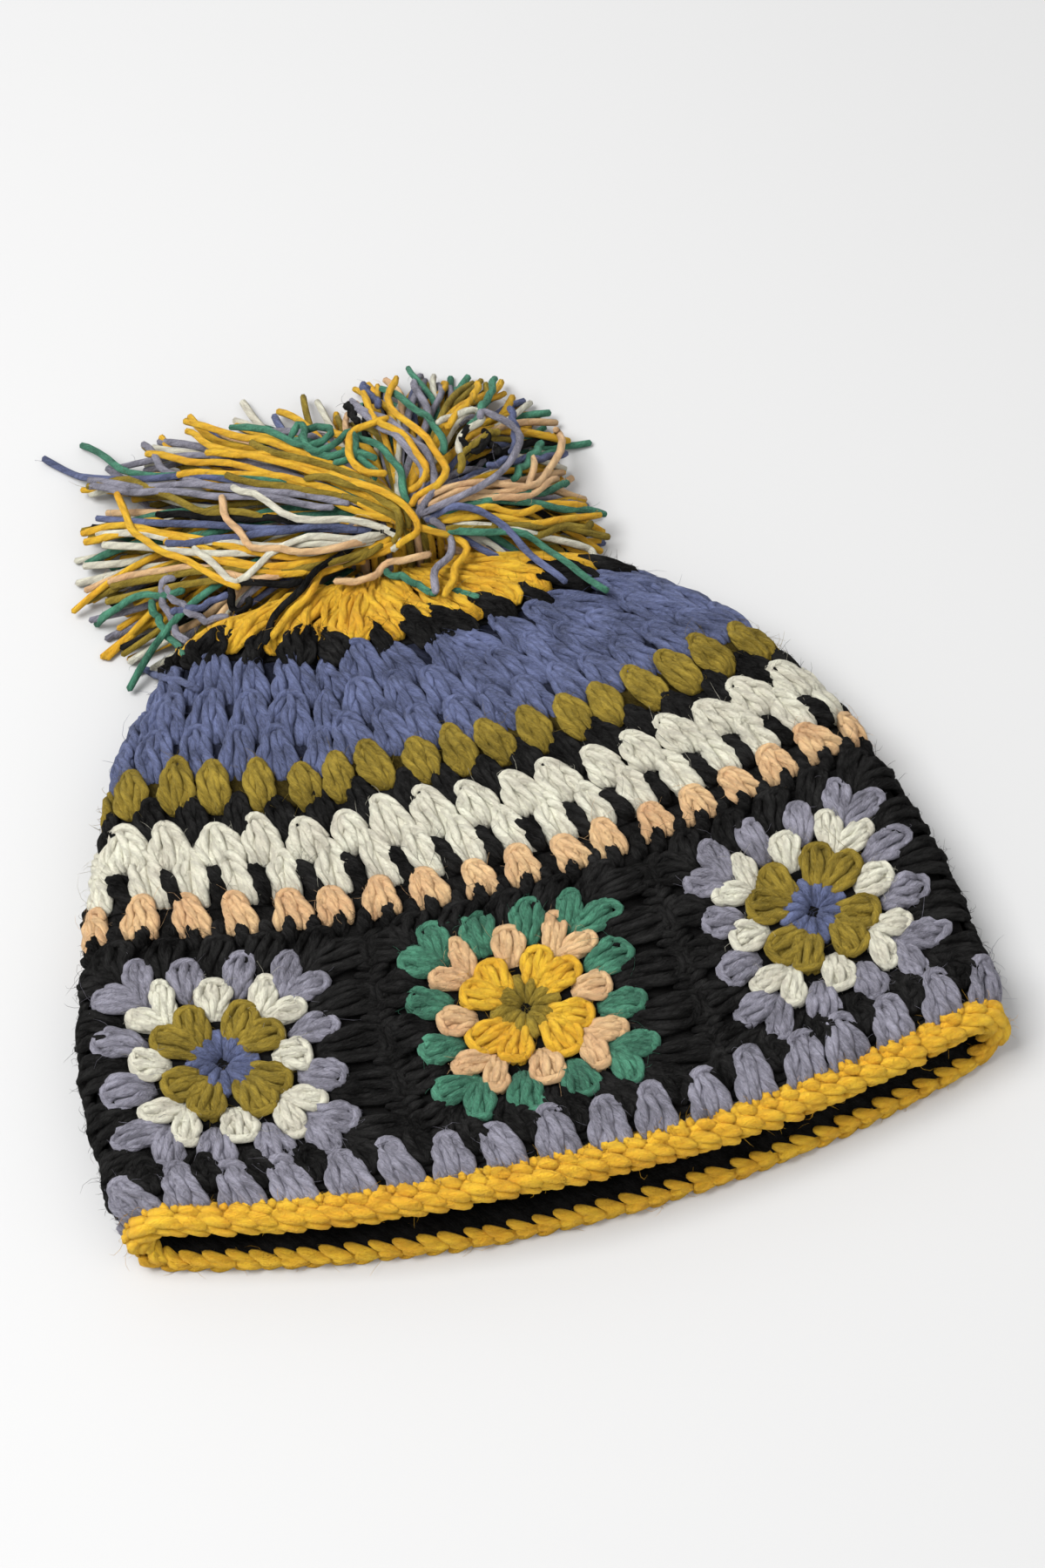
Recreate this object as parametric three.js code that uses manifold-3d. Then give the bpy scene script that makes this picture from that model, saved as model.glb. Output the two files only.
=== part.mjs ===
// A crocheted wool bobble hat, lying flat on a surface with its mouth a little open, in millimetres.
// +Y runs from the mouth to the bobble, +X across the hat and +Z up from the surface.
// Six granny squares are joined into a ring. Coloured rounds close the crown above them, two
// rounds edge the mouth below them, and a bobble of loose yarn is tied to the gathered top.
import * as THREE from "three";
import { LoftGeometry } from "three/addons/geometries/LoftGeometry.js";
import { mergeVertices } from "three/addons/utils/BufferGeometryUtils.js";
import Module from "manifold-3d";

// The hat as it lies
const flatWidth = 264; // across the folds, at its widest
const hatLength = 216; // from the lip to the gathered top, along the middle
const lyingHeight = 29; // top of the upper layer above the surface, in the middle of the crown
const wall = 5; // thickness of the crocheted fabric
const dome = 0.06; // how much lower the sides of the upper layer are than its middle, as a share
const roundPuff = 1.2; // how far each round of clusters swells out of the fabric
const seamGap = 0.6; // between two rounds, or two squares
const steepest = 0.7; // where the fabric slopes more than this cosine, its wall may thin a little
const innerDimple = 1.5; // the closed end stands this far into the hollow
const innerFlat = 0.4; // the flat of that end, as a share of its width
const lowerLipLead = 3; // how far the lower lip reaches out in front of the upper one
const lipWaveHeight = 4; // the upper lip's soft wave
const lipWaveWidth = 45;
const lipWaveOffset = -20; // where the wave is, from the middle
const lipWaveReach = 32; // how far the wave reaches into the hat
const pleatTurn = 0.166; // a deep pleat shifts the rounds to the mouth on its left, and back on its right
const pleatWidth = 0.034;
const pleatShift = 5;
const pleatBegins = 0.45; // the pleat's stretch of the length, where it grows and where it fades
const pleatFull = 0.68;
const pleatFades = 0.75;
const pleatEnds = 0.92;
const gathersFull = 0.9; // where the gathers are deepest, and where they fade into the closed end
const gathersFade = 0.93;
const gathersEnd = 0.98;
const gatherLift = 5; // how far the gathered top stands off the surface

// The bobble
const strandReach = 100; // from the bobble's middle to the tips of its longest strands
const tieWidth = 46; // the bound middle of the bobble
const tieDepth = 28;
const tieHeight = 36;
const tieOffset = 3; // the bobble's middle, sideways from the hat's
const lockWidth = 15; // a lock is a flat bundle of strands
const lockThickness = 10;
const tipThickness = 5;
const tieGap = 0.5; // between the bobble and the crown

// How finely the solids are faceted
const squareCount = 6;
const stepsAroundSquare = 10;
const crowding = 0.6; // how much closer the steps are at the folds and between the squares
const stepsAround = squareCount * stepsAroundSquare;
const stepsAcrossRound = 2;
const stepsAlongSquare = 6;
const lockSides = 6;
const lockSteps = 6;
const tieSides = 20;
const tieRings = 12;

// The outline of the lying hat, a row for each place along its middle line, from the lip to the top.
// at, lead and lean are shares of hatLength, halfWidth of half the flatWidth, height of lyingHeight
// and centre of flatWidth. The folds run ahead of the middle by lead, the right one by lean more.
const outline = [
  { at: 0.0, halfWidth: 0.97, height: 0.83, lead: 0.088, lean: 0.002, centre: 0.008 },
  { at: 0.09, halfWidth: 0.985, height: 0.87, lead: 0.078, lean: 0.008, centre: 0.005 },
  { at: 0.26, halfWidth: 0.98, height: 0.93, lead: 0.088, lean: 0.014, centre: 0.0 },
  { at: 0.45, halfWidth: 0.905, height: 1.0, lead: 0.094, lean: 0.018, centre: 0.0 },
  { at: 0.63, halfWidth: 0.8, height: 1.0, lead: 0.078, lean: 0.012, centre: -0.004 },
  { at: 0.72, halfWidth: 0.73, height: 0.98, lead: 0.074, lean: 0.006, centre: -0.009 },
  { at: 0.8, halfWidth: 0.622, height: 0.95, lead: 0.068, lean: 0.0, centre: -0.013 },
  { at: 0.885, halfWidth: 0.485, height: 0.87, lead: 0.056, lean: -0.004, centre: -0.026 },
  { at: 0.93, halfWidth: 0.38, height: 0.76, lead: 0.04, lean: 0.0, centre: -0.03 },
  { at: 0.97, halfWidth: 0.25, height: 0.62, lead: 0.018, lean: 0.0, centre: -0.03 },
  { at: 1.0, halfWidth: 0.13, height: 0.48, lead: 0.004, lean: 0.0, centre: -0.024 },
];

// The coloured rounds from the lip up. length is a share of hatLength, along the middle line.
const rounds = [
  { name: "edge_round", length: 0.044, colour: 0xf0ac1c, waves: 1 },
  { name: "grey_round", length: 0.046, colour: 0x8d8a9f, waves: 1 },
  { name: "squares", length: 0.33, colour: 0x17161a, waves: 0 },
  { name: "peach_round", length: 0.044, colour: 0xefb687, waves: 1 },
  { name: "white_rounds", length: 0.13, colour: 0xeae5d5, waves: 2 },
  { name: "black_round", length: 0.028, colour: 0x17161a, waves: 1 },
  { name: "olive_round", length: 0.06, colour: 0x85741a, waves: 1 },
  { name: "blue_rounds", length: 0.173, colour: 0x52588f, waves: 3 },
  { name: "black_crown_round", length: 0.028, colour: 0x17161a, waves: 1 },
  { name: "yellow_crown", length: 0.117, colour: 0xf0ac1c, waves: 1 },
];

// The gathers of the crown, a row for each fold. turn is its place round the hat, with 0 at the left
// fold, 0.25 in the middle of the upper layer and 0.5 at the right fold. depth is a share of the
// wall, width a share of the way round, and from is where it starts, as a share of hatLength.
const gathers = [
  { turn: 0.03, depth: 0.4, width: 0.016, from: 0.72 },
  { turn: 0.095, depth: 0.45, width: 0.016, from: 0.76 },
  { turn: 0.162, depth: 0.95, width: 0.02, from: 0.52 },
  { turn: 0.225, depth: 0.4, width: 0.016, from: 0.78 },
  { turn: 0.285, depth: 0.6, width: 0.018, from: 0.7 },
  { turn: 0.345, depth: 0.45, width: 0.016, from: 0.76 },
  { turn: 0.4, depth: 0.7, width: 0.018, from: 0.66 },
  { turn: 0.465, depth: 0.4, width: 0.016, from: 0.76 },
  { turn: 0.56, depth: 0.5, width: 0.018, from: 0.74 },
  { turn: 0.645, depth: 0.5, width: 0.018, from: 0.78 },
  { turn: 0.73, depth: 0.6, width: 0.018, from: 0.72 },
  { turn: 0.82, depth: 0.5, width: 0.018, from: 0.78 },
  { turn: 0.91, depth: 0.5, width: 0.018, from: 0.74 },
];

// The bobble's locks. azimuth is in degrees from +X towards +Y, reach a share of strandReach, arch
// and tip the heights of the lock's middle and end as shares of tieHeight, and width of lockWidth.
const locks = [
  { azimuth: 181, reach: 0.97, arch: 0.3, tip: 0, width: 1 },
  { azimuth: 172, reach: 1, arch: 0.8, tip: 0.3, width: 1.2 },
  { azimuth: 165, reach: 1.04, arch: 0.4, tip: 0, width: 1.2 },
  { azimuth: 157, reach: 1.04, arch: 1, tip: 0.3, width: 1.2 },
  { azimuth: 147, reach: 1.12, arch: 0.5, tip: 0, width: 1.2 },
  { azimuth: 138, reach: 0.98, arch: 1, tip: 0.15, width: 1.2 },
  { azimuth: 126, reach: 0.93, arch: 0.5, tip: 0, width: 1.2 },
  { azimuth: 112, reach: 0.86, arch: 1.1, tip: 0.15, width: 1.2 },
  { azimuth: 98, reach: 0.76, arch: 0.5, tip: 0, width: 1.2 },
  { azimuth: 83, reach: 0.74, arch: 1.1, tip: 0.1, width: 1.2 },
  { azimuth: 68, reach: 0.76, arch: 0.5, tip: 0, width: 1.2 },
  { azimuth: 54, reach: 0.8, arch: 1, tip: 0.15, width: 1.2 },
  { azimuth: 40, reach: 0.76, arch: 0.5, tip: 0, width: 1.2 },
  { azimuth: 26, reach: 0.68, arch: 1, tip: 0.3, width: 1.2 },
  { azimuth: 12, reach: 0.66, arch: 0.5, tip: 0, width: 1.1 },
  { azimuth: -2, reach: 0.68, arch: 1, tip: 0.35, width: 1.1 },
  { azimuth: -28, reach: 0.62, arch: 1.5, tip: 0.85, width: 0.8 },
  { azimuth: 207, reach: 0.55, arch: 1.6, tip: 0.85, width: 0.7 },
];

// Reads a column of a table at a place between its rows, on a smooth curve through them.
function column(table, name, at) {
  const last = table.length - 1;
  let row = 0;
  while (row < last - 1 && table[row + 1].at < at) row++;
  const slope = (a, b) => (table[b][name] - table[a][name]) / (table[b].at - table[a].at);
  const before = (i) => slope(Math.max(i - 1, 0), Math.max(i, 1));
  const after = (i) => slope(Math.min(i, last - 1), Math.min(i + 1, last));
  const slopeAt = (i) => (before(i) + after(i)) / 2;
  const span = table[row + 1].at - table[row].at;
  const t = (at - table[row].at) / span;
  const start = table[row][name];
  const end = table[row + 1][name];
  const startSlope = slopeAt(row) * span;
  const endSlope = slopeAt(row + 1) * span;
  return (
    start * (2 * t ** 3 - 3 * t ** 2 + 1) +
    startSlope * (t ** 3 - 2 * t ** 2 + t) +
    end * (3 * t ** 2 - 2 * t ** 3) +
    endSlope * (t ** 3 - t ** 2)
  );
}

const bell = (t) => Math.exp(-t * t);
const smooth = (low, high, t) => THREE.MathUtils.smoothstep(t, low, high);

// A place on the loop round the hat, seen from the mouth: two level layers joined by two round folds.
function loopPoint(turn, halfWidth, between) {
  const radius = between / 2;
  const straight = halfWidth - radius;
  const quarter = (Math.PI * radius) / 2;
  let run = (turn - Math.floor(turn)) * 4 * (straight + quarter);
  if (run < quarter) {
    const angle = Math.PI - run / radius;
    return [radius * Math.cos(angle) - straight, radius + radius * Math.sin(angle)];
  }
  run -= quarter;
  if (run < 2 * straight) return [run - straight, between];
  run -= 2 * straight;
  if (run < 2 * quarter) {
    const angle = Math.PI / 2 - run / radius;
    return [radius * Math.cos(angle) + straight, radius + radius * Math.sin(angle)];
  }
  run -= 2 * quarter;
  if (run < 2 * straight) return [straight - run, 0];
  run -= 2 * straight;
  const angle = -Math.PI / 2 - run / radius;
  return [radius * Math.cos(angle) - straight, radius + radius * Math.sin(angle)];
}

// How far the gathers draw the fabric in at a place.
function gatherDepth(turn, along) {
  let depth = 0;
  for (const fold of gathers) {
    const away = turn - fold.turn - Math.round(turn - fold.turn);
    depth += fold.depth * wall * bell(away / fold.width) * smooth(fold.from, gathersFull, along);
  }
  return depth * (1 - smooth(gathersFade, gathersEnd, along));
}

// The middle of the fabric's thickness. turn is the place round the hat, along the share of hatLength.
function middle(turn, along) {
  const halfWidth = (column(outline, "halfWidth", along) * flatWidth) / 2 - wall / 2;
  const between = column(outline, "height", along) * lyingHeight - wall;
  const [x, level] = loopPoint(turn, halfWidth, between);
  const side = x / halfWidth;
  const upper = level / between;
  const nearLip = bell((along * hatLength) / lipWaveReach);
  const wave = lipWaveHeight * nearLip * bell((x - lipWaveOffset) / lipWaveWidth);
  const drawn = gatherDepth(turn, along);
  const fromPleat = (turn - pleatTurn) / pleatWidth;
  const pleatGrowth = smooth(pleatBegins, pleatFull, along) * (1 - smooth(pleatFades, pleatEnds, along));
  const pleat = pleatShift * pleatGrowth * fromPleat * bell(fromPleat);
  const y =
    along * hatLength +
    column(outline, "lead", along) * hatLength * side ** 2 +
    column(outline, "lean", along) * hatLength * side +
    pleat -
    lowerLipLead * nearLip * (1 - upper);
  const z =
    wall / 2 +
    gatherLift * smooth(gathersFull, 1, along) +
    level * (1 - dome * side ** 2) +
    wave * upper ** 2 +
    drawn * (1 - 2 * smooth(0.3, 0.7, upper));
  return new THREE.Vector3(x + column(outline, "centre", along) * flatWidth, y, z);
}

// A place in the fabric's thickness: depth runs from -wall / 2 on the inside to wall / 2 on the outside.
// It is set off across the hat and not along it, so that neighbouring rounds meet in parallel faces,
// and it is longer where the fabric slopes, so that the wall keeps its thickness.
function fabric(turn, along, depth) {
  const step = 1e-3;
  const around = middle(turn + step, along).sub(middle(turn - step, along));
  const low = Math.max(along - step, 0);
  const high = Math.min(along + step, 1);
  const up = middle(turn, high).sub(middle(turn, low));
  const outward = new THREE.Vector3(-around.z, 0, around.x).normalize();
  const square = Math.max(around.cross(up).normalize().dot(outward), steepest);
  return middle(turn, along).addScaledVector(outward, depth / square);
}

// The outside of a round swells between its edges, but not underneath, where the hat lies on it.
function outside(turn, along, across, waves) {
  const upper = Math.sin(2 * Math.PI * turn);
  const puff = roundPuff * Math.abs(Math.sin(Math.PI * across * waves)) * smooth(-0.2, 0.3, upper);
  return fabric(turn, along, wall / 2 + puff);
}

// The place round the hat of one of the steps, which crowd together where two squares meet.
function turnAt(step) {
  const pace = 2 * Math.PI * squareCount;
  return step / stepsAround - (crowding / pace) * Math.sin((pace * step) / stepsAround);
}

// A closed loop of points right round the hat.
function loop(place) {
  return Array.from({ length: stepsAround }, (_, step) => place(turnAt(step)));
}

function ringGeometry(round, from, to) {
  const steps = stepsAcrossRound * round.waves;
  const sections = [];
  for (let i = 0; i <= steps; i++) {
    const across = i / steps;
    const along = from + (to - from) * across;
    sections.push(loop((turn) => outside(turn, along, across, round.waves)));
  }
  sections.push(loop((turn) => fabric(turn, to, -wall / 2)));
  sections.push(loop((turn) => fabric(turn, from, -wall / 2)));
  sections.push(sections[0]);
  return new LoftGeometry(sections);
}

// The last round closes to a small gathered end, so it is a bowl: up the outside and back inside.
function crownGeometry(round, from) {
  const steps = 2 * stepsAcrossRound;
  const to = 1;
  const innerEnd = 1 - wall / hatLength;
  const innerLoop = loop((turn) => fabric(turn, innerEnd, -wall / 2));
  const innerMiddle = new THREE.Vector3(0, -innerDimple, 0);
  for (const point of innerLoop) innerMiddle.addScaledVector(point, 1 / stepsAround);
  const sections = [innerLoop.map((point) => point.clone().lerp(innerMiddle, 1 - innerFlat))];
  for (let i = 0; i <= steps; i++) {
    const along = innerEnd + (from - innerEnd) * (i / steps);
    sections.push(loop((turn) => fabric(turn, along, -wall / 2)));
  }
  for (let i = 0; i <= steps; i++) {
    const across = i / steps;
    const along = from + (to - from) * across;
    sections.push(loop((turn) => outside(turn, along, across, round.waves)));
  }
  return new LoftGeometry(sections, { capStart: true, capEnd: true });
}

// A square is a flat slab bent round the hat.
function squareGeometry(index, from, to) {
  const halfGap = seamGap / 2 / (2 * flatWidth);
  const slab = new THREE.BoxGeometry(stepsAroundSquare, 1, wall, stepsAroundSquare, stepsAlongSquare, 1);
  const positions = slab.attributes.position;
  for (let i = 0; i < positions.count; i++) {
    const step = Math.round(positions.getX(i) + stepsAroundSquare / 2);
    const turn = THREE.MathUtils.clamp(
      turnAt(index * stepsAroundSquare + step),
      index / squareCount + halfGap,
      (index + 1) / squareCount - halfGap,
    );
    const place = fabric(turn, from + (to - from) * (positions.getY(i) + 0.5), positions.getZ(i));
    positions.setXYZ(i, place.x, place.y, place.z);
  }
  slab.computeVertexNormals();
  return slab;
}

// A lock leaves the bobble's middle, arches over and comes down to its tip.
function lockGeometry(lock, middlePoint) {
  const azimuth = THREE.MathUtils.degToRad(lock.azimuth);
  const away = new THREE.Vector3(Math.cos(azimuth), Math.sin(azimuth), 0);
  const reach = lock.reach * strandReach;
  const path = new THREE.QuadraticBezierCurve3(
    middlePoint,
    middlePoint.clone().addScaledVector(away, reach / 2).setZ(lock.arch * tieHeight),
    middlePoint.clone().addScaledVector(away, reach).setZ(lock.tip * tieHeight + tipThickness / 2),
  );
  const across = new THREE.Vector3(-away.y, away.x, 0);
  const sections = [];
  for (let i = 0; i <= lockSteps; i++) {
    const t = i / lockSteps;
    const up = path.getTangent(t).cross(across);
    const swell = Math.sin(Math.PI * t);
    const halfWidth = (lock.width * lockWidth * (0.6 + 0.4 * swell)) / 2;
    const halfThickness = (tipThickness + (lockThickness - tipThickness) * swell) / 2;
    const section = [];
    for (let side = 0; side < lockSides; side++) {
      const angle = (2 * Math.PI * (side + 0.5)) / lockSides;
      section.push(
        path.getPoint(t)
          .addScaledVector(across, halfWidth * Math.cos(angle))
          .addScaledVector(up, halfThickness * Math.sin(angle)),
      );
    }
    sections.push(section);
  }
  return new LoftGeometry(sections, { capStart: true, capEnd: true });
}

const wasm = await Module();
wasm.setup();

// A three.js geometry as a solid that can be joined to others.
function solidOf(geometry) {
  const bare = new THREE.BufferGeometry().copy(geometry);
  bare.deleteAttribute("normal");
  bare.deleteAttribute("uv");
  const merged = mergeVertices(bare, 1e-3);
  return new wasm.Manifold(
    new wasm.Mesh({
      numProp: 3,
      vertProperties: new Float32Array(merged.attributes.position.array),
      triVerts: new Uint32Array(merged.index.array),
    }),
  );
}

function geometryOf(solid) {
  const mesh = solid.getMesh();
  return new THREE.BufferGeometry()
    .setAttribute("position", new THREE.BufferAttribute(mesh.vertProperties, 3))
    .setIndex(new THREE.BufferAttribute(mesh.triVerts, 1));
}

// The bound middle and its locks, fused.
function bobbleGeometry() {
  const crownEnd = fabric(0.25, 1, wall / 2).y;
  const tieMiddle = new THREE.Vector3(tieOffset, crownEnd + tieGap + tieDepth / 2, tieHeight / 2);
  const tie = new THREE.SphereGeometry(0.5, tieSides, tieRings);
  tie.scale(tieWidth, tieDepth, tieHeight);
  tie.translate(tieMiddle.x, tieMiddle.y, tieMiddle.z);
  let bobble = solidOf(tie);
  for (const lock of locks) bobble = bobble.add(solidOf(lockGeometry(lock, tieMiddle)));
  return geometryOf(bobble);
}

function yarn(colour) {
  return new THREE.MeshStandardMaterial({ color: colour, roughness: 0.95, metalness: 0 });
}

function addPiece(group, name, geometry, colour) {
  const piece = new THREE.Mesh(geometry, yarn(colour));
  piece.name = name;
  group.add(piece);
}

const hat = new THREE.Group();
const halfSeam = seamGap / 2 / hatLength;
let start = 0;
rounds.forEach((round, i) => {
  const end = i === rounds.length - 1 ? 1 : start + round.length;
  const from = i === 0 ? start : start + halfSeam;
  const to = end - halfSeam;
  if (round.name === "squares") {
    for (let index = 0; index < squareCount; index++) {
      addPiece(hat, `square_${index + 1}`, squareGeometry(index, from, to), round.colour);
    }
  } else if (i === rounds.length - 1) {
    addPiece(hat, round.name, crownGeometry(round, from), round.colour);
  } else {
    addPiece(hat, round.name, ringGeometry(round, from, to), round.colour);
  }
  start = end;
});
addPiece(hat, "bobble", bobbleGeometry(), 0xf0ac1c);

// The origin is under the middle of the whole hat, on the surface that it lies on.
const box = new THREE.Box3().setFromObject(hat);
hat.position.set(-(box.min.x + box.max.x) / 2, -(box.min.y + box.max.y) / 2, -box.min.z);

export default hat;
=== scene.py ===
import math
from collections import namedtuple

import bmesh
import bpy
import numpy as np
from mathutils import Euler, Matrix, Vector


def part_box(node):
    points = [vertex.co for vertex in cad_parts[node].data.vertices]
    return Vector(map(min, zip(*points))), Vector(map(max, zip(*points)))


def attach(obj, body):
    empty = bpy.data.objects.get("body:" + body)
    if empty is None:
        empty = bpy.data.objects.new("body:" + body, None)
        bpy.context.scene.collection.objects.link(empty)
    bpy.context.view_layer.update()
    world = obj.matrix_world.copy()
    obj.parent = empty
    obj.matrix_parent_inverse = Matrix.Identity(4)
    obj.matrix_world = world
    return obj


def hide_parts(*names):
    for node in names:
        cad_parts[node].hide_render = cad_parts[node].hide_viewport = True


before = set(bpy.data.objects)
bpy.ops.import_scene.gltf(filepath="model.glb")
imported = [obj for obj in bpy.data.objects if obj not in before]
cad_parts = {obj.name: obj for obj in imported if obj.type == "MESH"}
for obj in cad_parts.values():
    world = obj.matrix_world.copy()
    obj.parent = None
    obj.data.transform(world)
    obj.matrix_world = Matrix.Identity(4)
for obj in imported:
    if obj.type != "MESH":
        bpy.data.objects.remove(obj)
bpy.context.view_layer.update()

bl_info = {
    "name": "Crocheted bobble hat",
    "version": (1, 0, 0),
    "blender": (4, 5, 0),
    "location": "3D View > Sidebar > Bobble hat",
    "description": "Dresses a bobble hat's solids with crocheted wool stitches and a bobble of loose yarn",
    "category": "Object",
}

MM = 0.001

# The fabric's shape, in millimetres, as the solids have it.
FLAT_WIDTH = 264
HAT_LENGTH = 216
LYING_HEIGHT = 29
WALL = 5
DOME = 0.06
STEEPEST = 0.7
INNER_DIMPLE = 1.5
LOWER_LIP_LEAD = 3
LIP_WAVE_HEIGHT = 4
LIP_WAVE_WIDTH = 45
LIP_WAVE_OFFSET = -20
LIP_WAVE_REACH = 32
PLEAT_TURN = 0.166
PLEAT_WIDTH = 0.034
PLEAT_SHIFT = 5
PLEAT_STRETCH = (0.45, 0.68, 0.75, 0.92)
GATHERS_FULL = 0.9
GATHERS_FADE = 0.93
GATHERS_END = 0.98
GATHER_LIFT = 5
TIE_WIDTH = 46
TIE_DEPTH = 28
TIE_HEIGHT = 36
TIE_OFFSET = 3
TIE_GAP = 0.5
SQUARE_COUNT = 6

# The outline of the lying hat, from the lip to the gathered top.
OUTLINE = {
    "at": (0.0, 0.09, 0.26, 0.45, 0.63, 0.72, 0.8, 0.885, 0.93, 0.97, 1.0),
    "half_width": (0.97, 0.985, 0.98, 0.905, 0.8, 0.73, 0.622, 0.485, 0.38, 0.25, 0.13),
    "height": (0.83, 0.87, 0.93, 1.0, 1.0, 0.98, 0.95, 0.87, 0.76, 0.62, 0.48),
    "lead": (0.088, 0.078, 0.088, 0.094, 0.078, 0.074, 0.068, 0.056, 0.04, 0.018, 0.004),
    "lean": (0.002, 0.008, 0.014, 0.018, 0.012, 0.006, 0.0, -0.004, 0.0, 0.0, 0.0),
    "centre": (0.008, 0.005, 0.0, 0.0, -0.004, -0.009, -0.013, -0.026, -0.03, -0.03, -0.024),
}

# The gathers of the crown: place round the hat, depth, width, and where each starts.
GATHERS = (
    (0.03, 0.4, 0.016, 0.72),
    (0.095, 0.45, 0.016, 0.76),
    (0.162, 0.95, 0.02, 0.52),
    (0.225, 0.4, 0.016, 0.78),
    (0.285, 0.6, 0.018, 0.7),
    (0.345, 0.45, 0.016, 0.76),
    (0.4, 0.7, 0.018, 0.66),
    (0.465, 0.4, 0.016, 0.76),
    (0.56, 0.5, 0.018, 0.74),
    (0.645, 0.5, 0.018, 0.78),
    (0.73, 0.6, 0.018, 0.72),
    (0.82, 0.5, 0.018, 0.78),
    (0.91, 0.5, 0.018, 0.74),
)

# Where each round starts and ends along the hat, what shows in its gaps (black yarn, or for the olive and
# blue rounds painted shade: the round's own yarn darkened), and the steps that the fabric behind it takes.
Round = namedtuple("Round", "piece slot start end backing steps")
ROUNDS = (
    Round("grey_round", "grey_yarn", 0.044, 0.09, "black", 1),
    Round("peach_round", "peach_yarn", 0.42, 0.464, "black", 1),
    Round("white_rounds", "white_yarn", 0.464, 0.594, "black", 4),
    Round("black_round", "black_yarn", 0.594, 0.622, "black", 1),
    Round("olive_round", "olive_yarn", 0.622, 0.682, "shaded olive", 2),
    Round("blue_rounds", "blue_yarn", 0.682, 0.855, "shaded blue", 5),
    Round("black_crown_round", "black_yarn", 0.855, 0.883, "black", 1),
)
EDGE_END = 0.044
SQUARES_START = 0.09
SQUARES_END = 0.42
CROWN_START = 0.883

# A row of clusters. phase shifts it round the hat in clusters, foot and top are shares of the hat's
# length, width is a share of the room for a cluster, posts are the twisted pairs of strands in it,
# lean shifts the tops, in clusters, and raised lifts the row off the fabric.
Row = namedtuple("Row", "piece yarn count phase foot top width posts radius shape lean raised")
ROWS = (
    Row("grey_round", "black", 36, 0.0, 0.058, 0.104, 0.66, 2, 1.35, "egg", 0.0, 1.0),
    Row("grey_round", "grey", 36, 0.5, 0.024, 0.09, 0.9, 3, 1.35, "arch", 0.0, 1.2),
    Row("peach_round", "black", 72, 0.0, 0.408, 0.434, 1.0, 1, 1.3, "arch", 0.0, -0.3),
    Row("peach_round", "peach", 36, 0.5, 0.424, 0.474, 0.86, 3, 1.25, "arch", -0.1, 0.8),
    Row("white_rounds", "white", 36, 0.5, 0.47, 0.542, 0.84, 2, 1.45, "hook", -0.16, 0.2),
    Row("white_rounds", "black", 36, 0.97, 0.468, 0.52, 0.4, 1, 1.5, "dash", -0.25, 1.6),
    Row("white_rounds", "white", 36, 0.0, 0.526, 0.592, 1.02, 3, 1.35, "hook", -0.2, 0.9),
    Row("black_round", "black", 36, 0.5, 0.56, 0.634, 0.84, 3, 1.3, "egg", -0.1, 0.2),
    Row("olive_round", "olive", 36, 0.0, 0.614, 0.688, 0.94, 3, 1.3, "egg", -0.1, 0.9),
    Row("blue_rounds", "blue", 36, 0.5, 0.666, 0.738, 1.14, 3, 1.3, "arch", -0.14, 0.0),
    Row("blue_rounds", "blue", 32, 0.2, 0.724, 0.797, 1.14, 3, 1.3, "arch", -0.14, 0.3),
    Row("blue_rounds", "blue", 28, 0.6, 0.783, 0.856, 1.14, 3, 1.3, "arch", -0.14, 0.5),
    Row("black_crown_round", "black", 23, 0.1, 0.838, 0.908, 0.78, 3, 1.35, "egg", -0.05, 2.1),
    Row("yellow_crown", "yellow", 18, 0.1, 0.926, 0.995, 1.15, 3, 1.3, "spear", 0.0, 0.4),
    Row("yellow_crown", "yellow", 23, 0.6, 0.866, 0.962, 1.16, 3, 1.4, "spear", 0.0, 1.8),
)

# How a cluster's posts run: height up the cluster, half width and lift off the fabric in mm.
SHAPES = {
    "arch": (
        (0, 1.0, -1.6), (0.14, 1.0, 0.2), (0.42, 0.9, 1.1), (0.7, 0.7, 1.5), (0.92, 0.5, 1.1), (1, 0.4, 0.2),
    ),
    "hook": (
        (0, 0.8, -1.4), (0.15, 0.9, 0.4), (0.45, 1.0, 1.1), (0.72, 0.8, 1.4), (0.92, 0.5, 0.8),
        (1, 0.36, -0.4),
    ),
    "egg": (
        (0, 0.3, -1.4), (0.15, 0.66, 0.4), (0.45, 1.0, 1.1), (0.72, 0.82, 1.3), (0.92, 0.5, 0.6),
        (1, 0.3, -0.6),
    ),
    "dash": (
        (0, 0.8, -1.4), (0.15, 1.0, 0.5), (0.45, 1.0, 0.9), (0.72, 1.0, 0.9), (0.92, 0.8, 0.1),
        (1, 0.6, -1.2),
    ),
    "spear": (
        (0, 0.1, -1.6), (0.1, 0.4, 0.4), (0.3, 0.85, 1.2), (0.6, 1.0, 1.1), (0.85, 1.0, 0.8), (1, 0.95, 0.2),
    ),
    "petal": (
        (0, 0.36, -2.2), (0.18, 0.55, -0.2), (0.45, 0.8, 0.9), (0.72, 1.0, 1.4), (0.9, 0.96, 1.3),
        (1, 0.86, 0.5),
    ),
}
# The loop that closes the top of a cluster: side, height and lift.
TOP_LOOPS = {
    "arch": ((-0.9, 0.66, 0.6), (-0.6, 0.92, 1.3), (0, 1.0, 1.6), (0.6, 0.92, 1.3), (0.9, 0.66, 0.6)),
    "hook": ((-0.9, 0.72, 0.2), (-0.55, 0.95, 1.1), (0.05, 1.0, 1.5), (0.7, 0.84, 1.3), (1.25, 0.5, 0.3)),
    "egg": ((-0.9, 0.66, 0.0), (-0.55, 0.9, 0.8), (0, 0.98, 1.1), (0.55, 0.9, 0.8), (0.9, 0.66, 0.0)),
    "petal": ((-1.05, 0.8, 0.6), (-0.7, 0.96, 1.3), (0, 1.0, 1.6), (0.7, 0.96, 1.3), (1.05, 0.8, 0.6)),
}

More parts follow.
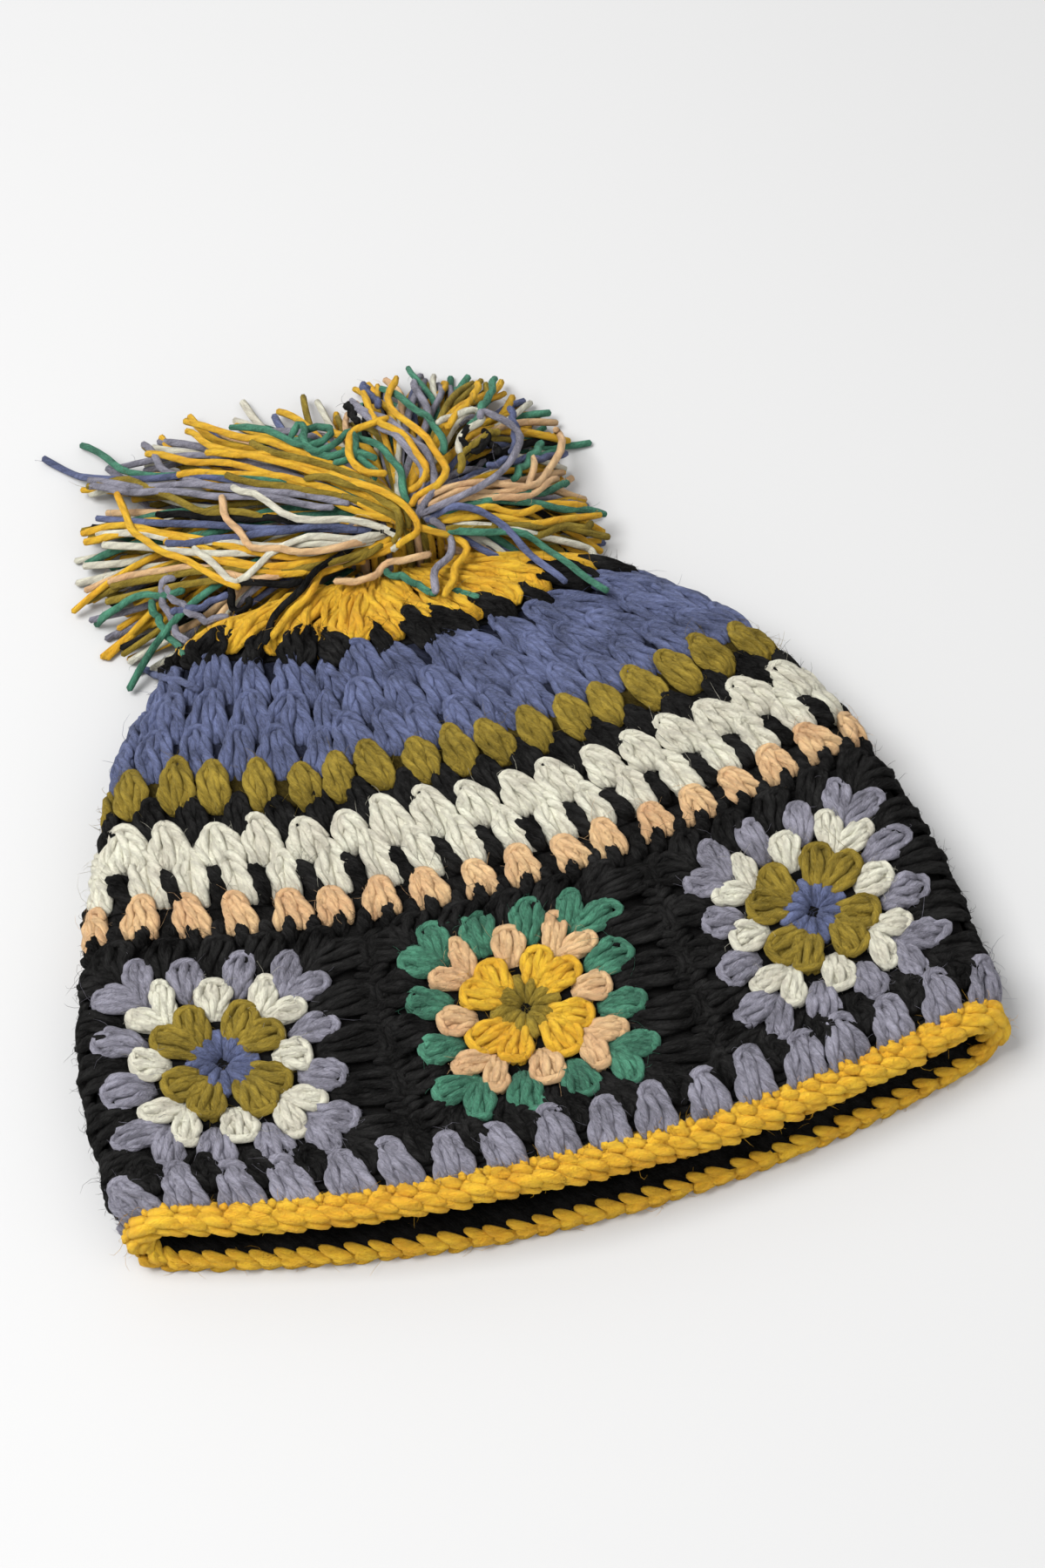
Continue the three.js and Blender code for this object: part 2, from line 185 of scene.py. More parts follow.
# The rings of points along each strand of a cluster, and how thick it is at each.
STRAND_RINGS = 9
RING_RADII = np.array([0.7, 0.9, 1.0, 1.04, 1.04, 1.04, 1.0, 0.92, 0.74])

# The rounds of a granny square: inner and outer radius, clusters along a side and their width, where
# the corner clusters' foot and tip are, as shares of the two radii, and the corner clusters' width.
SquareRound = namedtuple("SquareRound", "inner outer clusters width foot tip corner_width")
SQUARE_ROUNDS = (
    SquareRound(10.0, 20.0, 2, 14.0, 0.46, 0.5, 13.0),
    SquareRound(20.0, 29.0, 3, 12.5, 0.72, 0.62, 9.6),
    SquareRound(28.0, 38.0, 4, 12.5, 0.78, 0.7, 11.0),
    SquareRound(37.0, 45.5, 5, 14.0, 0.82, 0.8, 13.0),
)
# The foot of the clusters between the corners, out and to the side, and their tip to the side, as
# shares of the same radii.
SIDE_FOOT = (0.84, 0.78)
SIDE_TIP = 0.8
# The spokes of a square's middle, and how far they reach.
SPOKES = 12
SPOKE_REACH = 8.8
# A square's yarns in the two colourings, from its middle outwards.
SQUARE_YARNS = (
    ("blue", "olive", "white", "grey", "black"),
    ("olive", "yellow", "peach", "green", "black"),
)
SQUARE_SPAN = 90
# From a square's own even millimetres to its place on the hat: across it in millimetres, and along the
# hat in shares of its length. The black round takes up what is left at the sides.
SQUARE_ACROSS = ((0, 10, 38, 45), (0, 8.8, 33.0, 44.0))
SQUARE_ALONG = ((-45, -38, 0, 38, 45), (0.078, 0.096, 0.2445, 0.388, 0.414))
# How far each square's middle is from its own sixth of the hat, across and up, in millimetres.
SQUARE_OFFSETS = ((-2.0, -0.8), (-3.4, 1.2), (-3.0, -0.4), (1.2, -1.0), (-0.8, 1.2), (0.5, 0.0))
# That shift fades out between these distances from the square's middle.
SHIFT_FADES = (36, 44)

# The slanted stitches that join a square to the one before it.
SEAM_STITCHES = 24

# The strands of one stitch of the edge. sides, ups and lifts each hold its start and its end: place
# round the hat in stitches, millimetres up from the lip, and lift off the fabric.
EdgeStrand = namedtuple("EdgeStrand", "sides ups lifts radius")
EDGE_STRANDS = (
    EdgeStrand((-0.74, 0.54), (2.6, -1.1), (0.4, 0.9), 2.0),
    EdgeStrand((-0.3, 0.44), (5.0, 2.6), (0.8, 1.1), 1.9),
    EdgeStrand((-0.8, 0.55), (1.3, -1.4), (-0.4, -3.2), 2.15),
    EdgeStrand((-0.35, 0.8), (-1.2, 1.6), (-2.4, -5.4), 1.9),
    EdgeStrand((-0.36, -0.42), (4.6, 6.9), (0.5, -0.1), 1.45),
    EdgeStrand((0.14, 0.06), (4.4, 7.1), (0.5, -0.1), 1.45),
    EdgeStrand((-0.6, 0.6), (3.6, 3.6), (-0.7, -0.7), 2.2),
    EdgeStrand((-0.6, 0.6), (6.0, 6.0), (-1.1, -1.1), 1.9),
)
# The rings of points along the short strands of the edge and of the seams.
SHORT_RINGS = 7

# The fabric behind the stitches: how far under the outside of the wall it lies, in millimetres, and
# half the gap to the next piece, as a share of the hat's length and of a square's width.
BACKING_DROP = 0.9
HALF_SEAM = 0.0014
HALF_SIDE_SEAM = 0.0003
# Which side of the wall a section of the backing is on, or which closed end it is.
INSIDE = 1
OUTSIDE = 0
INNER_END = 2
OUTER_END = -1

# How much flatter the stitches lie underneath, and the lowest that yarn comes, in millimetres.
PRESSED_FLAT = 1.7
LOWEST = 0.03

# How far the dyed fibres differ, as a share of a yarn's colour, and how dark a yarn is painted where it
# stands for the hat's own shade.
HEATHER = {"grey": 0.55, "blue": 0.6, "green": 0.6, "olive": 0.5, "black": 0.75}
PLAIN_HEATHER = 0.2
SHADE = 0.22
PLIES = 2

# The share of the loose hairs that a piece has, and a hair's radii from its root to its tip.
HAIR_SHARE = 0.055
HAIR_SHARES = {"bobble": 0.1}
HAIR_RADII = np.array([0.06, 0.055, 0.045, 0.02])

# The bobble's reach from its tie, in millimetres, by direction from +X towards +Y.
REACH = (
    (-40, 60), (-28, 62), (-2, 68), (12, 66), (26, 68), (40, 76), (54, 80), (68, 76), (83, 74), (98, 78),
    (112, 86), (126, 93), (138, 99), (147, 110), (157, 106), (165, 106), (172, 103), (181, 98), (194, 84),
    (207, 62),
)
# A notch in that reach: its direction, its width in degrees and its depth.
NOTCH = (102, 13, 0.16)
# The directions between which the loose strands fan out.
FAN = (-30, 203)
# The yarns of the loose strands and the share of each.
BOBBLE_YARNS = ("yellow", "green", "white", "grey", "peach", "olive", "blue", "black")
BOBBLE_SHARES = (0.34, 0.13, 0.12, 0.11, 0.09, 0.1, 0.08, 0.03)
BOBBLE_RADIUS = 1.25
BOBBLE_RINGS = 18
# A strand's radius at its rings, as shares: it narrows at both ends.
STRAND_ENDS = np.array([0.8] + [1] * (BOBBLE_RINGS - 2) + [0.92])
# The bound middle under the strands, as a share of the tie, and the short strands over it.
CORE_SHARE = 0.76
WRAP_SHARE = 0.42
WRAP_COUNT = 26
WRAP_RINGS = 14
WRAP_YARNS = ("yellow", "yellow", "olive", "yellow", "grey", "peach")

# Past the directions of REACH, what carries a strand reaches this far from the tie.
BEHIND_REACH = 30
# The tops of the stitches, above the fabric, and how near a strand has to be to lie on them.
HAT_TOP_LIFT = 2.6
HAT_TOP_NEAR = 3
STRAND_RADIUS = 1.3
# How a strand is let down on its sight line: from what height, in how many steps, and the share of
# the way that a step goes.
SIGHT_START = 20.0
SIGHT_STEPS = 12
SIGHT_SHARE = 0.4

# The photo's view: the camera's direction and height in degrees, its distance from where it looks and
# that place in metres, its lens and sensor in millimetres, and the photo's pixels across and down.
PHOTO_AZIMUTH = -15
PHOTO_ELEVATION = 59
PHOTO_DISTANCE = 0.9198
PHOTO_AIM = (0.01542, -0.02478, 0.02)
PHOTO_LENS = 70
SENSOR_HEIGHT = 36
PHOTO_SIZE = (1200, 1800)

# The bobble's strands that lie on top, each in its own way: the yarn, how far it lies above what carries it,
# in millimetres, and the listed pixels of the photo that it passes.
TopStrand = namedtuple("TopStrand", "yarn lift pixels")
TOP_STRANDS = (
    TopStrand("blue", 0, ((470, 600), (380, 568), (250, 548), (165, 552), (103, 546), (84, 546),
        (51, 527))),
    TopStrand("green", 0, ((470, 598), (380, 560), (250, 546), (190, 548), (147, 539), (120, 526),
        (94, 512))),
    TopStrand("grey", 0, ((470, 598), (400, 572), (310, 560), (240, 556), (195, 544), (180, 526),
        (165, 510))),
    TopStrand("yellow", 1, ((472, 600), (430, 560), (375, 530), (321, 512), (282, 502), (248, 494),
        (214, 483))),
    TopStrand("yellow", 1, ((470, 602), (420, 568), (350, 540), (280, 522), (238, 508), (215, 496))),
    TopStrand("yellow", 0, ((470, 604), (410, 585), (330, 552), (262, 532), (205, 528), (170, 520))),
    TopStrand("yellow", 1, ((472, 604), (440, 578), (385, 545), (330, 528), (280, 520), (236, 522))),
    TopStrand("yellow", 1, ((470, 606), (438, 590), (380, 562), (320, 548), (255, 542), (205, 546))),
    TopStrand("olive", 2, ((472, 606), (462, 580), (425, 552), (370, 535), (320, 520), (288, 508))),
    TopStrand("olive", 1, ((470, 606), (448, 590), (400, 572), (350, 562), (300, 556), (262, 546))),
    TopStrand("green", 2, ((266, 490), (296, 492), (322, 500), (350, 512), (372, 508), (380, 494),
        (362, 488), (346, 498), (352, 516), (378, 524), (404, 518), (430, 528))),
    TopStrand("green", 3, ((334, 500), (340, 488), (352, 492), (348, 508), (362, 518), (384, 510),
        (398, 496), (410, 505), (404, 522), (384, 530))),
    TopStrand("green", 1, ((405, 500), (430, 510), (452, 528), (462, 552), (468, 580))),
    TopStrand("green", 1, ((392, 516), (416, 528), (432, 545), (420, 556), (402, 548))),
    TopStrand("white", 3, ((265, 558), (280, 566), (294, 570), (331, 590), (370, 596), (400, 598),
        (436, 606), (458, 618), (452, 630))),
    TopStrand("white", 2, ((224, 628), (238, 640), (251, 657), (268, 667), (292, 655), (314, 633),
        (343, 619), (375, 616), (408, 611), (440, 612))),
    TopStrand("peach", 3, ((253, 570), (258, 588), (268, 604), (280, 618), (294, 628), (320, 632),
        (343, 631), (384, 631), (420, 622))),
    TopStrand("yellow", 2, ((136, 568), (140, 584), (149, 599), (158, 614), (171, 626), (190, 635),
        (210, 640), (246, 660), (275, 676))),
    TopStrand("black", 3, ((458, 612), (440, 606), (418, 616), (398, 628), (379, 638), (360, 656),
        (343, 677), (328, 694), (314, 713), (306, 728), (304, 737))),
    TopStrand("black", 1, ((345, 668), (333, 672), (308, 668), (282, 667), (268, 672), (265, 683),
        (266, 694), (274, 700), (284, 694), (288, 688))),
    TopStrand("yellow", 2, ((420, 645), (402, 646), (384, 648), (366, 662), (353, 684), (336, 702),
        (319, 720), (312, 732))),
    TopStrand("grey", 0, ((200, 662), (186, 670), (188, 688), (190, 699), (198, 716), (205, 728),
        (219, 740))),
    TopStrand("grey", 0, ((190, 676), (206, 692), (222, 706), (240, 712), (262, 708))),
    TopStrand("green", 0, ((210, 678), (196, 680), (178, 684), (160, 686), (142, 691), (126, 702),
        (113, 718))),
    TopStrand("green", 0, ((172, 692), (178, 702), (184, 714), (190, 725), (200, 738), (214, 752))),
    TopStrand("blue", 0, ((230, 792), (210, 784), (188, 777), (174, 774), (159, 770))),
    TopStrand("blue", 0, ((262, 684), (240, 692), (215, 700), (196, 702))),
    TopStrand("yellow", 4, ((455, 436), (450, 444), (445, 451), (450, 466), (460, 480), (474, 492),
        (489, 502), (500, 515), (508, 528), (511, 538), (508, 548), (498, 560), (482, 567), (472, 580))),
    TopStrand("yellow", 4, ((445, 482), (426, 486), (411, 492), (401, 500), (399, 511), (402, 522),
        (409, 533), (422, 540), (441, 545))),
    TopStrand("yellow", 5, ((380, 541), (398, 550), (416, 558), (436, 564), (453, 570), (466, 580),
        (475, 594), (478, 604), (475, 613), (469, 620), (458, 627))),
    TopStrand("olive", 4, ((352, 548), (385, 552), (415, 560), (440, 572), (456, 590), (460, 606),
        (452, 620))),
    TopStrand("yellow", 4, ((418, 452), (424, 472), (440, 488), (462, 500), (478, 516), (488, 536),
        (484, 552), (472, 562))),
    TopStrand("grey", 3, ((402, 460), (420, 472), (445, 484), (470, 500), (490, 520), (500, 548),
        (490, 575), (478, 596))),
    TopStrand("grey", 3, ((408, 470), (430, 484), (452, 500), (476, 522), (486, 550), (480, 580))),
    TopStrand("grey", 5, ((484, 591), (506, 580), (525, 570), (550, 558), (574, 543), (588, 530),
        (596, 514), (596, 502), (591, 492), (580, 482), (564, 475), (552, 472), (550, 480))),
    TopStrand("peach", 3, ((482, 579), (502, 566), (525, 555), (545, 553), (564, 555), (586, 558),
        (608, 558), (624, 549), (634, 536), (641, 520), (644, 504), (642, 496), (639, 492))),
    TopStrand("peach", 2, ((490, 580), (520, 566), (560, 566), (600, 560), (612, 545), (610, 520))),
    TopStrand("peach", 2, ((496, 584), (530, 572), (570, 572), (612, 566), (640, 548))),
    TopStrand("blue", 4, ((488, 596), (501, 589), (520, 583), (538, 582), (552, 586), (564, 594),
        (582, 608), (598, 625), (616, 641), (634, 657), (648, 668))),
    TopStrand("green", 3, ((490, 606), (516, 608), (555, 610), (593, 613), (620, 624), (647, 642),
        (672, 662), (695, 679))),
    TopStrand("grey", 4, ((485, 592), (496, 596), (508, 604), (514, 612), (517, 622), (516, 634),
        (508, 646), (501, 658), (499, 668), (498, 679))),
    TopStrand("yellow", 4, ((480, 606), (500, 610), (520, 616), (535, 625), (530, 640), (523, 654),
        (518, 668), (513, 684))),
    TopStrand("peach", 2, ((494, 635), (474, 640), (453, 645), (440, 652), (424, 662), (408, 668),
        (387, 669))),
    TopStrand("green", 1, ((443, 656), (460, 662), (477, 669), (490, 678), (501, 682))),
    TopStrand("green", 0.5, ((521, 679), (534, 683), (547, 686))),
    TopStrand("green", 3, ((569, 434), (565, 446), (560, 458), (552, 470), (540, 490))),
    TopStrand("yellow", 3, ((550, 439), (546, 450), (540, 460), (530, 470), (512, 490))),
    TopStrand("blue", 2, ((416, 441), (424, 452), (436, 466))),
    TopStrand("green", 2, ((438, 446), (456, 455), (477, 468), (492, 482), (506, 497), (508, 520))),
    TopStrand("white", 3, ((501, 487), (518, 478), (534, 474), (550, 473), (548, 488), (530, 500),
        (528, 520))),
    TopStrand("black", 3, ((538, 492), (530, 502), (536, 514), (552, 516), (560, 504), (554, 494))),
    TopStrand("black", 2, ((532, 520), (548, 508), (566, 510), (572, 520))),
    TopStrand("olive", 3, ((528, 540), (532, 522), (545, 508), (560, 500), (572, 494))),
    TopStrand("yellow", 1, ((500, 592), (560, 584), (600, 588), (640, 578), (673, 581))),
    TopStrand("yellow", 1, ((506, 598), (560, 594), (610, 600), (650, 596), (688, 592))),
    TopStrand("olive", 1, ((520, 612), (580, 612), (620, 614), (655, 606), (697, 616))),
    TopStrand("olive", 1, ((510, 604), (560, 606), (610, 602), (660, 606), (680, 600))),
    TopStrand("green", 1, ((500, 590), (545, 578), (600, 576), (648, 584), (693, 589))),
    TopStrand("green", 1, ((498, 586), (560, 572), (600, 568), (640, 560), (652, 552))),
    TopStrand("green", 2, ((590, 548), (600, 536), (612, 522), (622, 509))),
    TopStrand("blue", 1, ((560, 534), (590, 528), (620, 526), (649, 521))),
    TopStrand("blue", 1, ((586, 470), (590, 484), (592, 500), (588, 520))),
    TopStrand("white", 1, ((520, 606), (570, 604), (620, 616), (655, 622), (678, 634), (684, 646))),
    TopStrand("black", 2, ((398, 464), (404, 474), (410, 484))),
    TopStrand("white", 0, ((430, 622), (370, 632), (300, 636), (230, 634), (160, 628), (120, 626))),
    TopStrand("white", 0, ((440, 618), (380, 622), (320, 628), (250, 622), (180, 616), (110, 612))),
    TopStrand("yellow", 0, ((450, 620), (400, 630), (340, 640), (270, 630), (200, 612), (140, 604),
        (96, 612))),
    TopStrand("yellow", 0, ((455, 624), (400, 640), (345, 650), (280, 645), (210, 622), (150, 610),
        (96, 622))),
    TopStrand("yellow", 0, ((452, 628), (410, 642), (350, 655), (290, 655), (240, 640), (190, 622))),
    TopStrand("olive", 0, ((440, 626), (380, 644), (310, 652), (240, 655), (180, 664), (130, 672))),
    TopStrand("olive", 0, ((430, 630), (370, 648), (300, 660), (230, 668), (170, 680), (124, 690))),
    TopStrand("peach", 0, ((420, 634), (360, 650), (300, 664), (250, 656), (205, 650), (160, 660),
        (124, 668))),
    TopStrand("blue", 0, ((440, 608), (380, 608), (310, 606), (250, 604), (190, 600), (110, 596))),
    TopStrand("blue", 1, ((408, 606), (360, 606), (310, 610), (268, 618), (230, 620), (190, 626))),
    TopStrand("grey", 1, ((400, 580), (340, 566), (270, 562), (210, 556), (150, 558), (104, 552))),
    TopStrand("grey", 1, ((380, 582), (320, 574), (250, 568), (190, 566), (140, 562), (100, 560))),
    TopStrand("olive", 1, ((300, 592), (260, 588), (215, 582), (180, 562), (140, 552), (102, 558))),
    TopStrand("black", 0, ((360, 600), (300, 596), (240, 594), (180, 590))),
)


def linear(code):
    """A six-digit sRGB colour as linear numbers."""
    parts = [int(code[i:i + 2], 16) / 255 for i in (1, 3, 5)]
    return [p / 12.92 if p <= 0.04045 else ((p + 0.055) / 1.055) ** 2.4 for p in parts]


def colour_property(name, description, code):
    """A setting that holds a colour."""
    return bpy.props.FloatVectorProperty(
        name=name, description=description, subtype="COLOR", size=3, min=0, max=1, default=linear(code)
    )


class YarnSettings(bpy.types.PropertyGroup):
    """The wool's colours and build."""

    yellow: colour_property("Yellow", "The edge, the crown and most of the bobble", "#FFB630")
    grey: colour_property("Grey", "The round above the edge and the outer squares", "#868491")
    black: colour_property("Black", "The squares' borders and two thin rounds", "#0E0D0C")
    peach: colour_property("Peach", "The round above the squares", "#F5BE8C")
    white: colour_property("White", "Two rounds and the outer squares", "#E6DECA")
    olive: colour_property("Olive", "The thin round under the blue ones", "#8B7522")
    blue: colour_property("Blue", "Three rounds under the crown", "#565E80")
    green: colour_property("Green", "The middle squares and the bobble", "#407A61")
    ply_pitch: bpy.props.FloatProperty(
        name="Twist length", description="From one groove of the yarn's twist to the next, along it",
        default=7.5 * MM, min=1 * MM, unit="LENGTH",
    )
    hair_count: bpy.props.IntProperty(
        name="Loose hairs", description="Stray wool hairs over the whole hat", default=36000, min=0
    )
    hair_length: bpy.props.FloatProperty(
        name="Hair length", description="Length of the longest stray hairs",
        default=4.2 * MM, min=0, unit="LENGTH",
    )


class StitchSettings(bpy.types.PropertyGroup):
    """How the hat is crocheted."""

    edge_stitches: bpy.props.IntProperty(
        name="Edge stitches", description="Single stitches round the mouth", default=80, min=12
    )
    square_yarn: bpy.props.FloatProperty(
        name="Yarn radius", description="Radius of the yarn in the squares", default=1.3 * MM, unit="LENGTH"
    )
    bobble_strands: bpy.props.IntProperty(
        name="Bobble strands", description="Loose strands in the bobble", default=380, min=10
    )
    seed: bpy.props.IntProperty(
        name="Seed", description="Changes the small unevenness of the work", default=7
    )


class StageSettings(bpy.types.PropertyGroup):
    """The camera and the studio light."""

    azimuth: bpy.props.FloatProperty(
        name="Azimuth", description="Camera's direction round the hat",
        default=math.radians(PHOTO_AZIMUTH), subtype="ANGLE",
    )
    elevation: bpy.props.FloatProperty(
        name="Elevation", description="Camera's height above the surface",
        default=math.radians(PHOTO_ELEVATION), subtype="ANGLE",
    )
    distance: bpy.props.FloatProperty(
        name="Distance", description="Camera's distance from where it looks",
        default=PHOTO_DISTANCE, unit="LENGTH",
    )
    aim: bpy.props.FloatVectorProperty(
        name="Aim", description="Where the camera looks", default=PHOTO_AIM, subtype="TRANSLATION"
    )
    lens: bpy.props.FloatProperty(
        name="Lens", description="Focal length in millimetres", default=PHOTO_LENS, min=10
    )
    floor: colour_property("Floor", "The pale studio floor", "#C5C5C5")


def column(name, along):
    """A column of the outline at a place between its rows, on a smooth curve through them."""
    at = np.array(OUTLINE["at"])
    value = np.array(OUTLINE[name])
    last = len(at) - 1
    row = np.clip(np.searchsorted(at, along) - 1, 0, last - 1)
    slopes = np.diff(value) / np.diff(at)
    before = np.maximum(np.arange(last + 1) - 1, 0)
    after = np.minimum(np.arange(last + 1), last - 1)
    tangents = (slopes[before] + slopes[after]) / 2
    span = at[row + 1] - at[row]
    t = (along - at[row]) / span
    return (
        value[row] * (2 * t**3 - 3 * t**2 + 1)
        + tangents[row] * span * (t**3 - 2 * t**2 + t)
        + value[row + 1] * (3 * t**2 - 2 * t**3)
        + tangents[row + 1] * span * (t**3 - t**2)
    )


def bell(t):
    """1 in the middle, falling off to both sides."""
    return np.exp(-t * t)


def smooth(low, high, t):
    """0 below low and 1 above high, with a soft step between."""
    share = np.clip((t - low) / (high - low), 0, 1)
    return share * share * (3 - 2 * share)


def loop_sizes(along):
    """Half width and height of the loop that the middle of the fabric makes."""
    half_width = column("half_width", along) * FLAT_WIDTH / 2 - WALL / 2
    return half_width, column("height", along) * LYING_HEIGHT - WALL


def loop_room(along):
    """The way round the hat at a place along it."""
    half_width, between = loop_sizes(along)
    radius = between / 2
    return 4 * (half_width - radius + np.pi * radius / 2)


def loop_point(turn, half_width, between):
    """A place on the loop: two level layers joined by two round folds."""
    radius = between / 2
    straight = half_width - radius
    quarter = np.pi * radius / 2
    run = (turn - np.floor(turn)) * 4 * (straight + quarter)
    ends = (quarter, quarter + 2 * straight, 3 * quarter + 2 * straight, 3 * quarter + 4 * straight)
    left_top = np.pi - run / radius
    right = np.pi / 2 - (run - ends[1]) / radius
    left_low = -np.pi / 2 - (run - ends[3]) / radius
    which = [run < end for end in ends]
    x = np.select(
        which,
        [radius * np.cos(left_top) - straight, run - ends[0] - straight,
         radius * np.cos(right) + straight, straight - (run - ends[2])],
        radius * np.cos(left_low) - straight,
    )
    level = np.select(
        which,
        [radius + radius * np.sin(left_top), between + 0 * run, radius + radius * np.sin(right), 0 * run],
        radius + radius * np.sin(left_low),
    )
    return x, level


def middle(turn, along):
    """The middle of the fabric's thickness, in the solids' own millimetres."""
    half_width, between = loop_sizes(along)
    x, level = loop_point(turn, half_width, between)
    side = x / half_width
    upper = level / between
    near_lip = bell(along * HAT_LENGTH / LIP_WAVE_REACH)
    wave = LIP_WAVE_HEIGHT * near_lip * bell((x - LIP_WAVE_OFFSET) / LIP_WAVE_WIDTH)
    drawn = 0
    for place, depth, width, start in GATHERS:
        away = turn - place - np.round(turn - place)
        drawn = drawn + depth * WALL * bell(away / width) * smooth(start, GATHERS_FULL, along)
    drawn = drawn * (1 - smooth(GATHERS_FADE, GATHERS_END, along))
    from_pleat = (turn - np.floor(turn) - PLEAT_TURN) / PLEAT_WIDTH
    begins, full, fades, ends = PLEAT_STRETCH
    growth = smooth(begins, full, along) * (1 - smooth(fades, ends, along))
    y = (
        along * HAT_LENGTH
        + column("lead", along) * HAT_LENGTH * side**2
        + column("lean", along) * HAT_LENGTH * side
        + PLEAT_SHIFT * growth * from_pleat * bell(from_pleat)
        - LOWER_LIP_LEAD * near_lip * (1 - upper)
    )
    z = (
        WALL / 2
        + GATHER_LIFT * smooth(GATHERS_FULL, 1, along)
        + level * (1 - DOME * side**2)
        + wave * upper**2
        + drawn * (1 - 2 * smooth(0.3, 0.7, upper))
    )
    return np.stack(np.broadcast_arrays(x + column("centre", along) * FLAT_WIDTH, y, z), axis=-1)


def unit(vectors):
    """The same directions, one long."""
    return vectors / np.maximum(np.linalg.norm(vectors, axis=-1, keepdims=True), 1e-9)


def fabric(turn, along, depth):
    """A place in the fabric's thickness; depth runs from the inside to the outside."""
    turn, along, depth = np.broadcast_arrays(*(np.asarray(a, dtype=float) for a in (turn, along, depth)))
    step = 1e-3
    around = middle(turn + step, along) - middle(turn - step, along)
    up = middle(turn, along + step) - middle(turn, along - step)
    outward = unit(np.stack([-around[..., 2], 0 * depth, around[..., 0]], axis=-1))
    square = np.maximum(np.sum(unit(np.cross(around, up)) * outward, axis=-1), STEEPEST)
    return middle(turn, along) + outward * (depth / square)[..., None]


def frame_shift():
    """From the solids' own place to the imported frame, in millimetres."""
    lip = fabric(np.linspace(0, 1, 721), 0.0, np.array([[WALL / 2], [-WALL / 2]]))
    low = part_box("edge_round")[0]
    sides = fabric(np.array([0.0]), np.linspace(0, EDGE_END, 30), WALL / 2)
    return np.array([low.x / MM - sides[..., 0].min(), low.y / MM - lip[..., 1].min(), 0])


SHIFT = frame_shift()


def pressed(turn):
    """1 where the fabric lies on the surface, 0 on top of the hat."""
    return smooth(0.12, -0.25, np.sin(2 * np.pi * turn))


def face(turn, along, lift):
    """A place on the outside of the fabric, lift millimetres above it. Underneath, stitches lie flatter."""
    return fabric(turn, along, WALL / 2 + lift - PRESSED_FLAT * pressed(turn))


def smooth_route(points, count):
    """Places on smooth curves through points, whose last axes are the points and their numbers."""
    points = np.asarray(points, dtype=float)
    last = points.shape[-2] - 1
    place = np.linspace(0, last, count)
    row = np.minimum(place.astype(int), last - 1)
    t = (place - row)[:, None]
    before = points[..., np.maximum(row - 1, 0), :]
    start = points[..., row, :]
    end = points[..., row + 1, :]
    after = points[..., np.minimum(row + 2, last), :]
    return 0.5 * (
        2 * start + (end - before) * t
        + (2 * before - 5 * start + 4 * end - after) * t**2
        + (3 * start - before - 3 * end + after) * t**3
    )


def arrays_of(mesh):
    """A bmesh's corners, corner order, face starts and UVs as arrays."""
    mesh.verts.ensure_lookup_table()
    corners = np.array([v.co[:] for v in mesh.verts])
    layer = mesh.loops.layers.uv.active
    order, starts, uvs = [], [], []
    for polygon in mesh.faces:
        starts.append(len(order))
        for loop in polygon.loops:
            order.append(loop.vert.index)
            uvs.append(loop[layer].uv[:])
    return corners, np.array(order), np.array(starts), np.array(uvs)


TEMPLATES = {}


def strand_template(sides, rings):
    """A closed strand as a grid rolled into a tube: x and y round it, z the ring's number."""
    if (sides, rings) in TEMPLATES:
        return TEMPLATES[(sides, rings)]
    mesh = bmesh.new()
    mesh.loops.layers.uv.new("yarn")
    bmesh.ops.create_grid(mesh, x_segments=sides, y_segments=rings + 1, size=0.5, calc_uvs=True)
    for vert in mesh.verts:
        angle = 2 * math.pi * (vert.co.x + 0.5)
        row = round((vert.co.y + 0.5) * (rings + 1))
        end = row in (0, rings + 1)
        radius = 0 if end else 1
        place = min(max(row - 1, -0.5), rings - 0.5)
        vert.co = (radius * math.cos(angle), radius * math.sin(angle), place)
    bmesh.ops.remove_doubles(mesh, verts=mesh.verts, dist=1e-4)
    made = arrays_of(mesh)
    mesh.free()
    TEMPLATES[(sides, rings)] = made
    return made


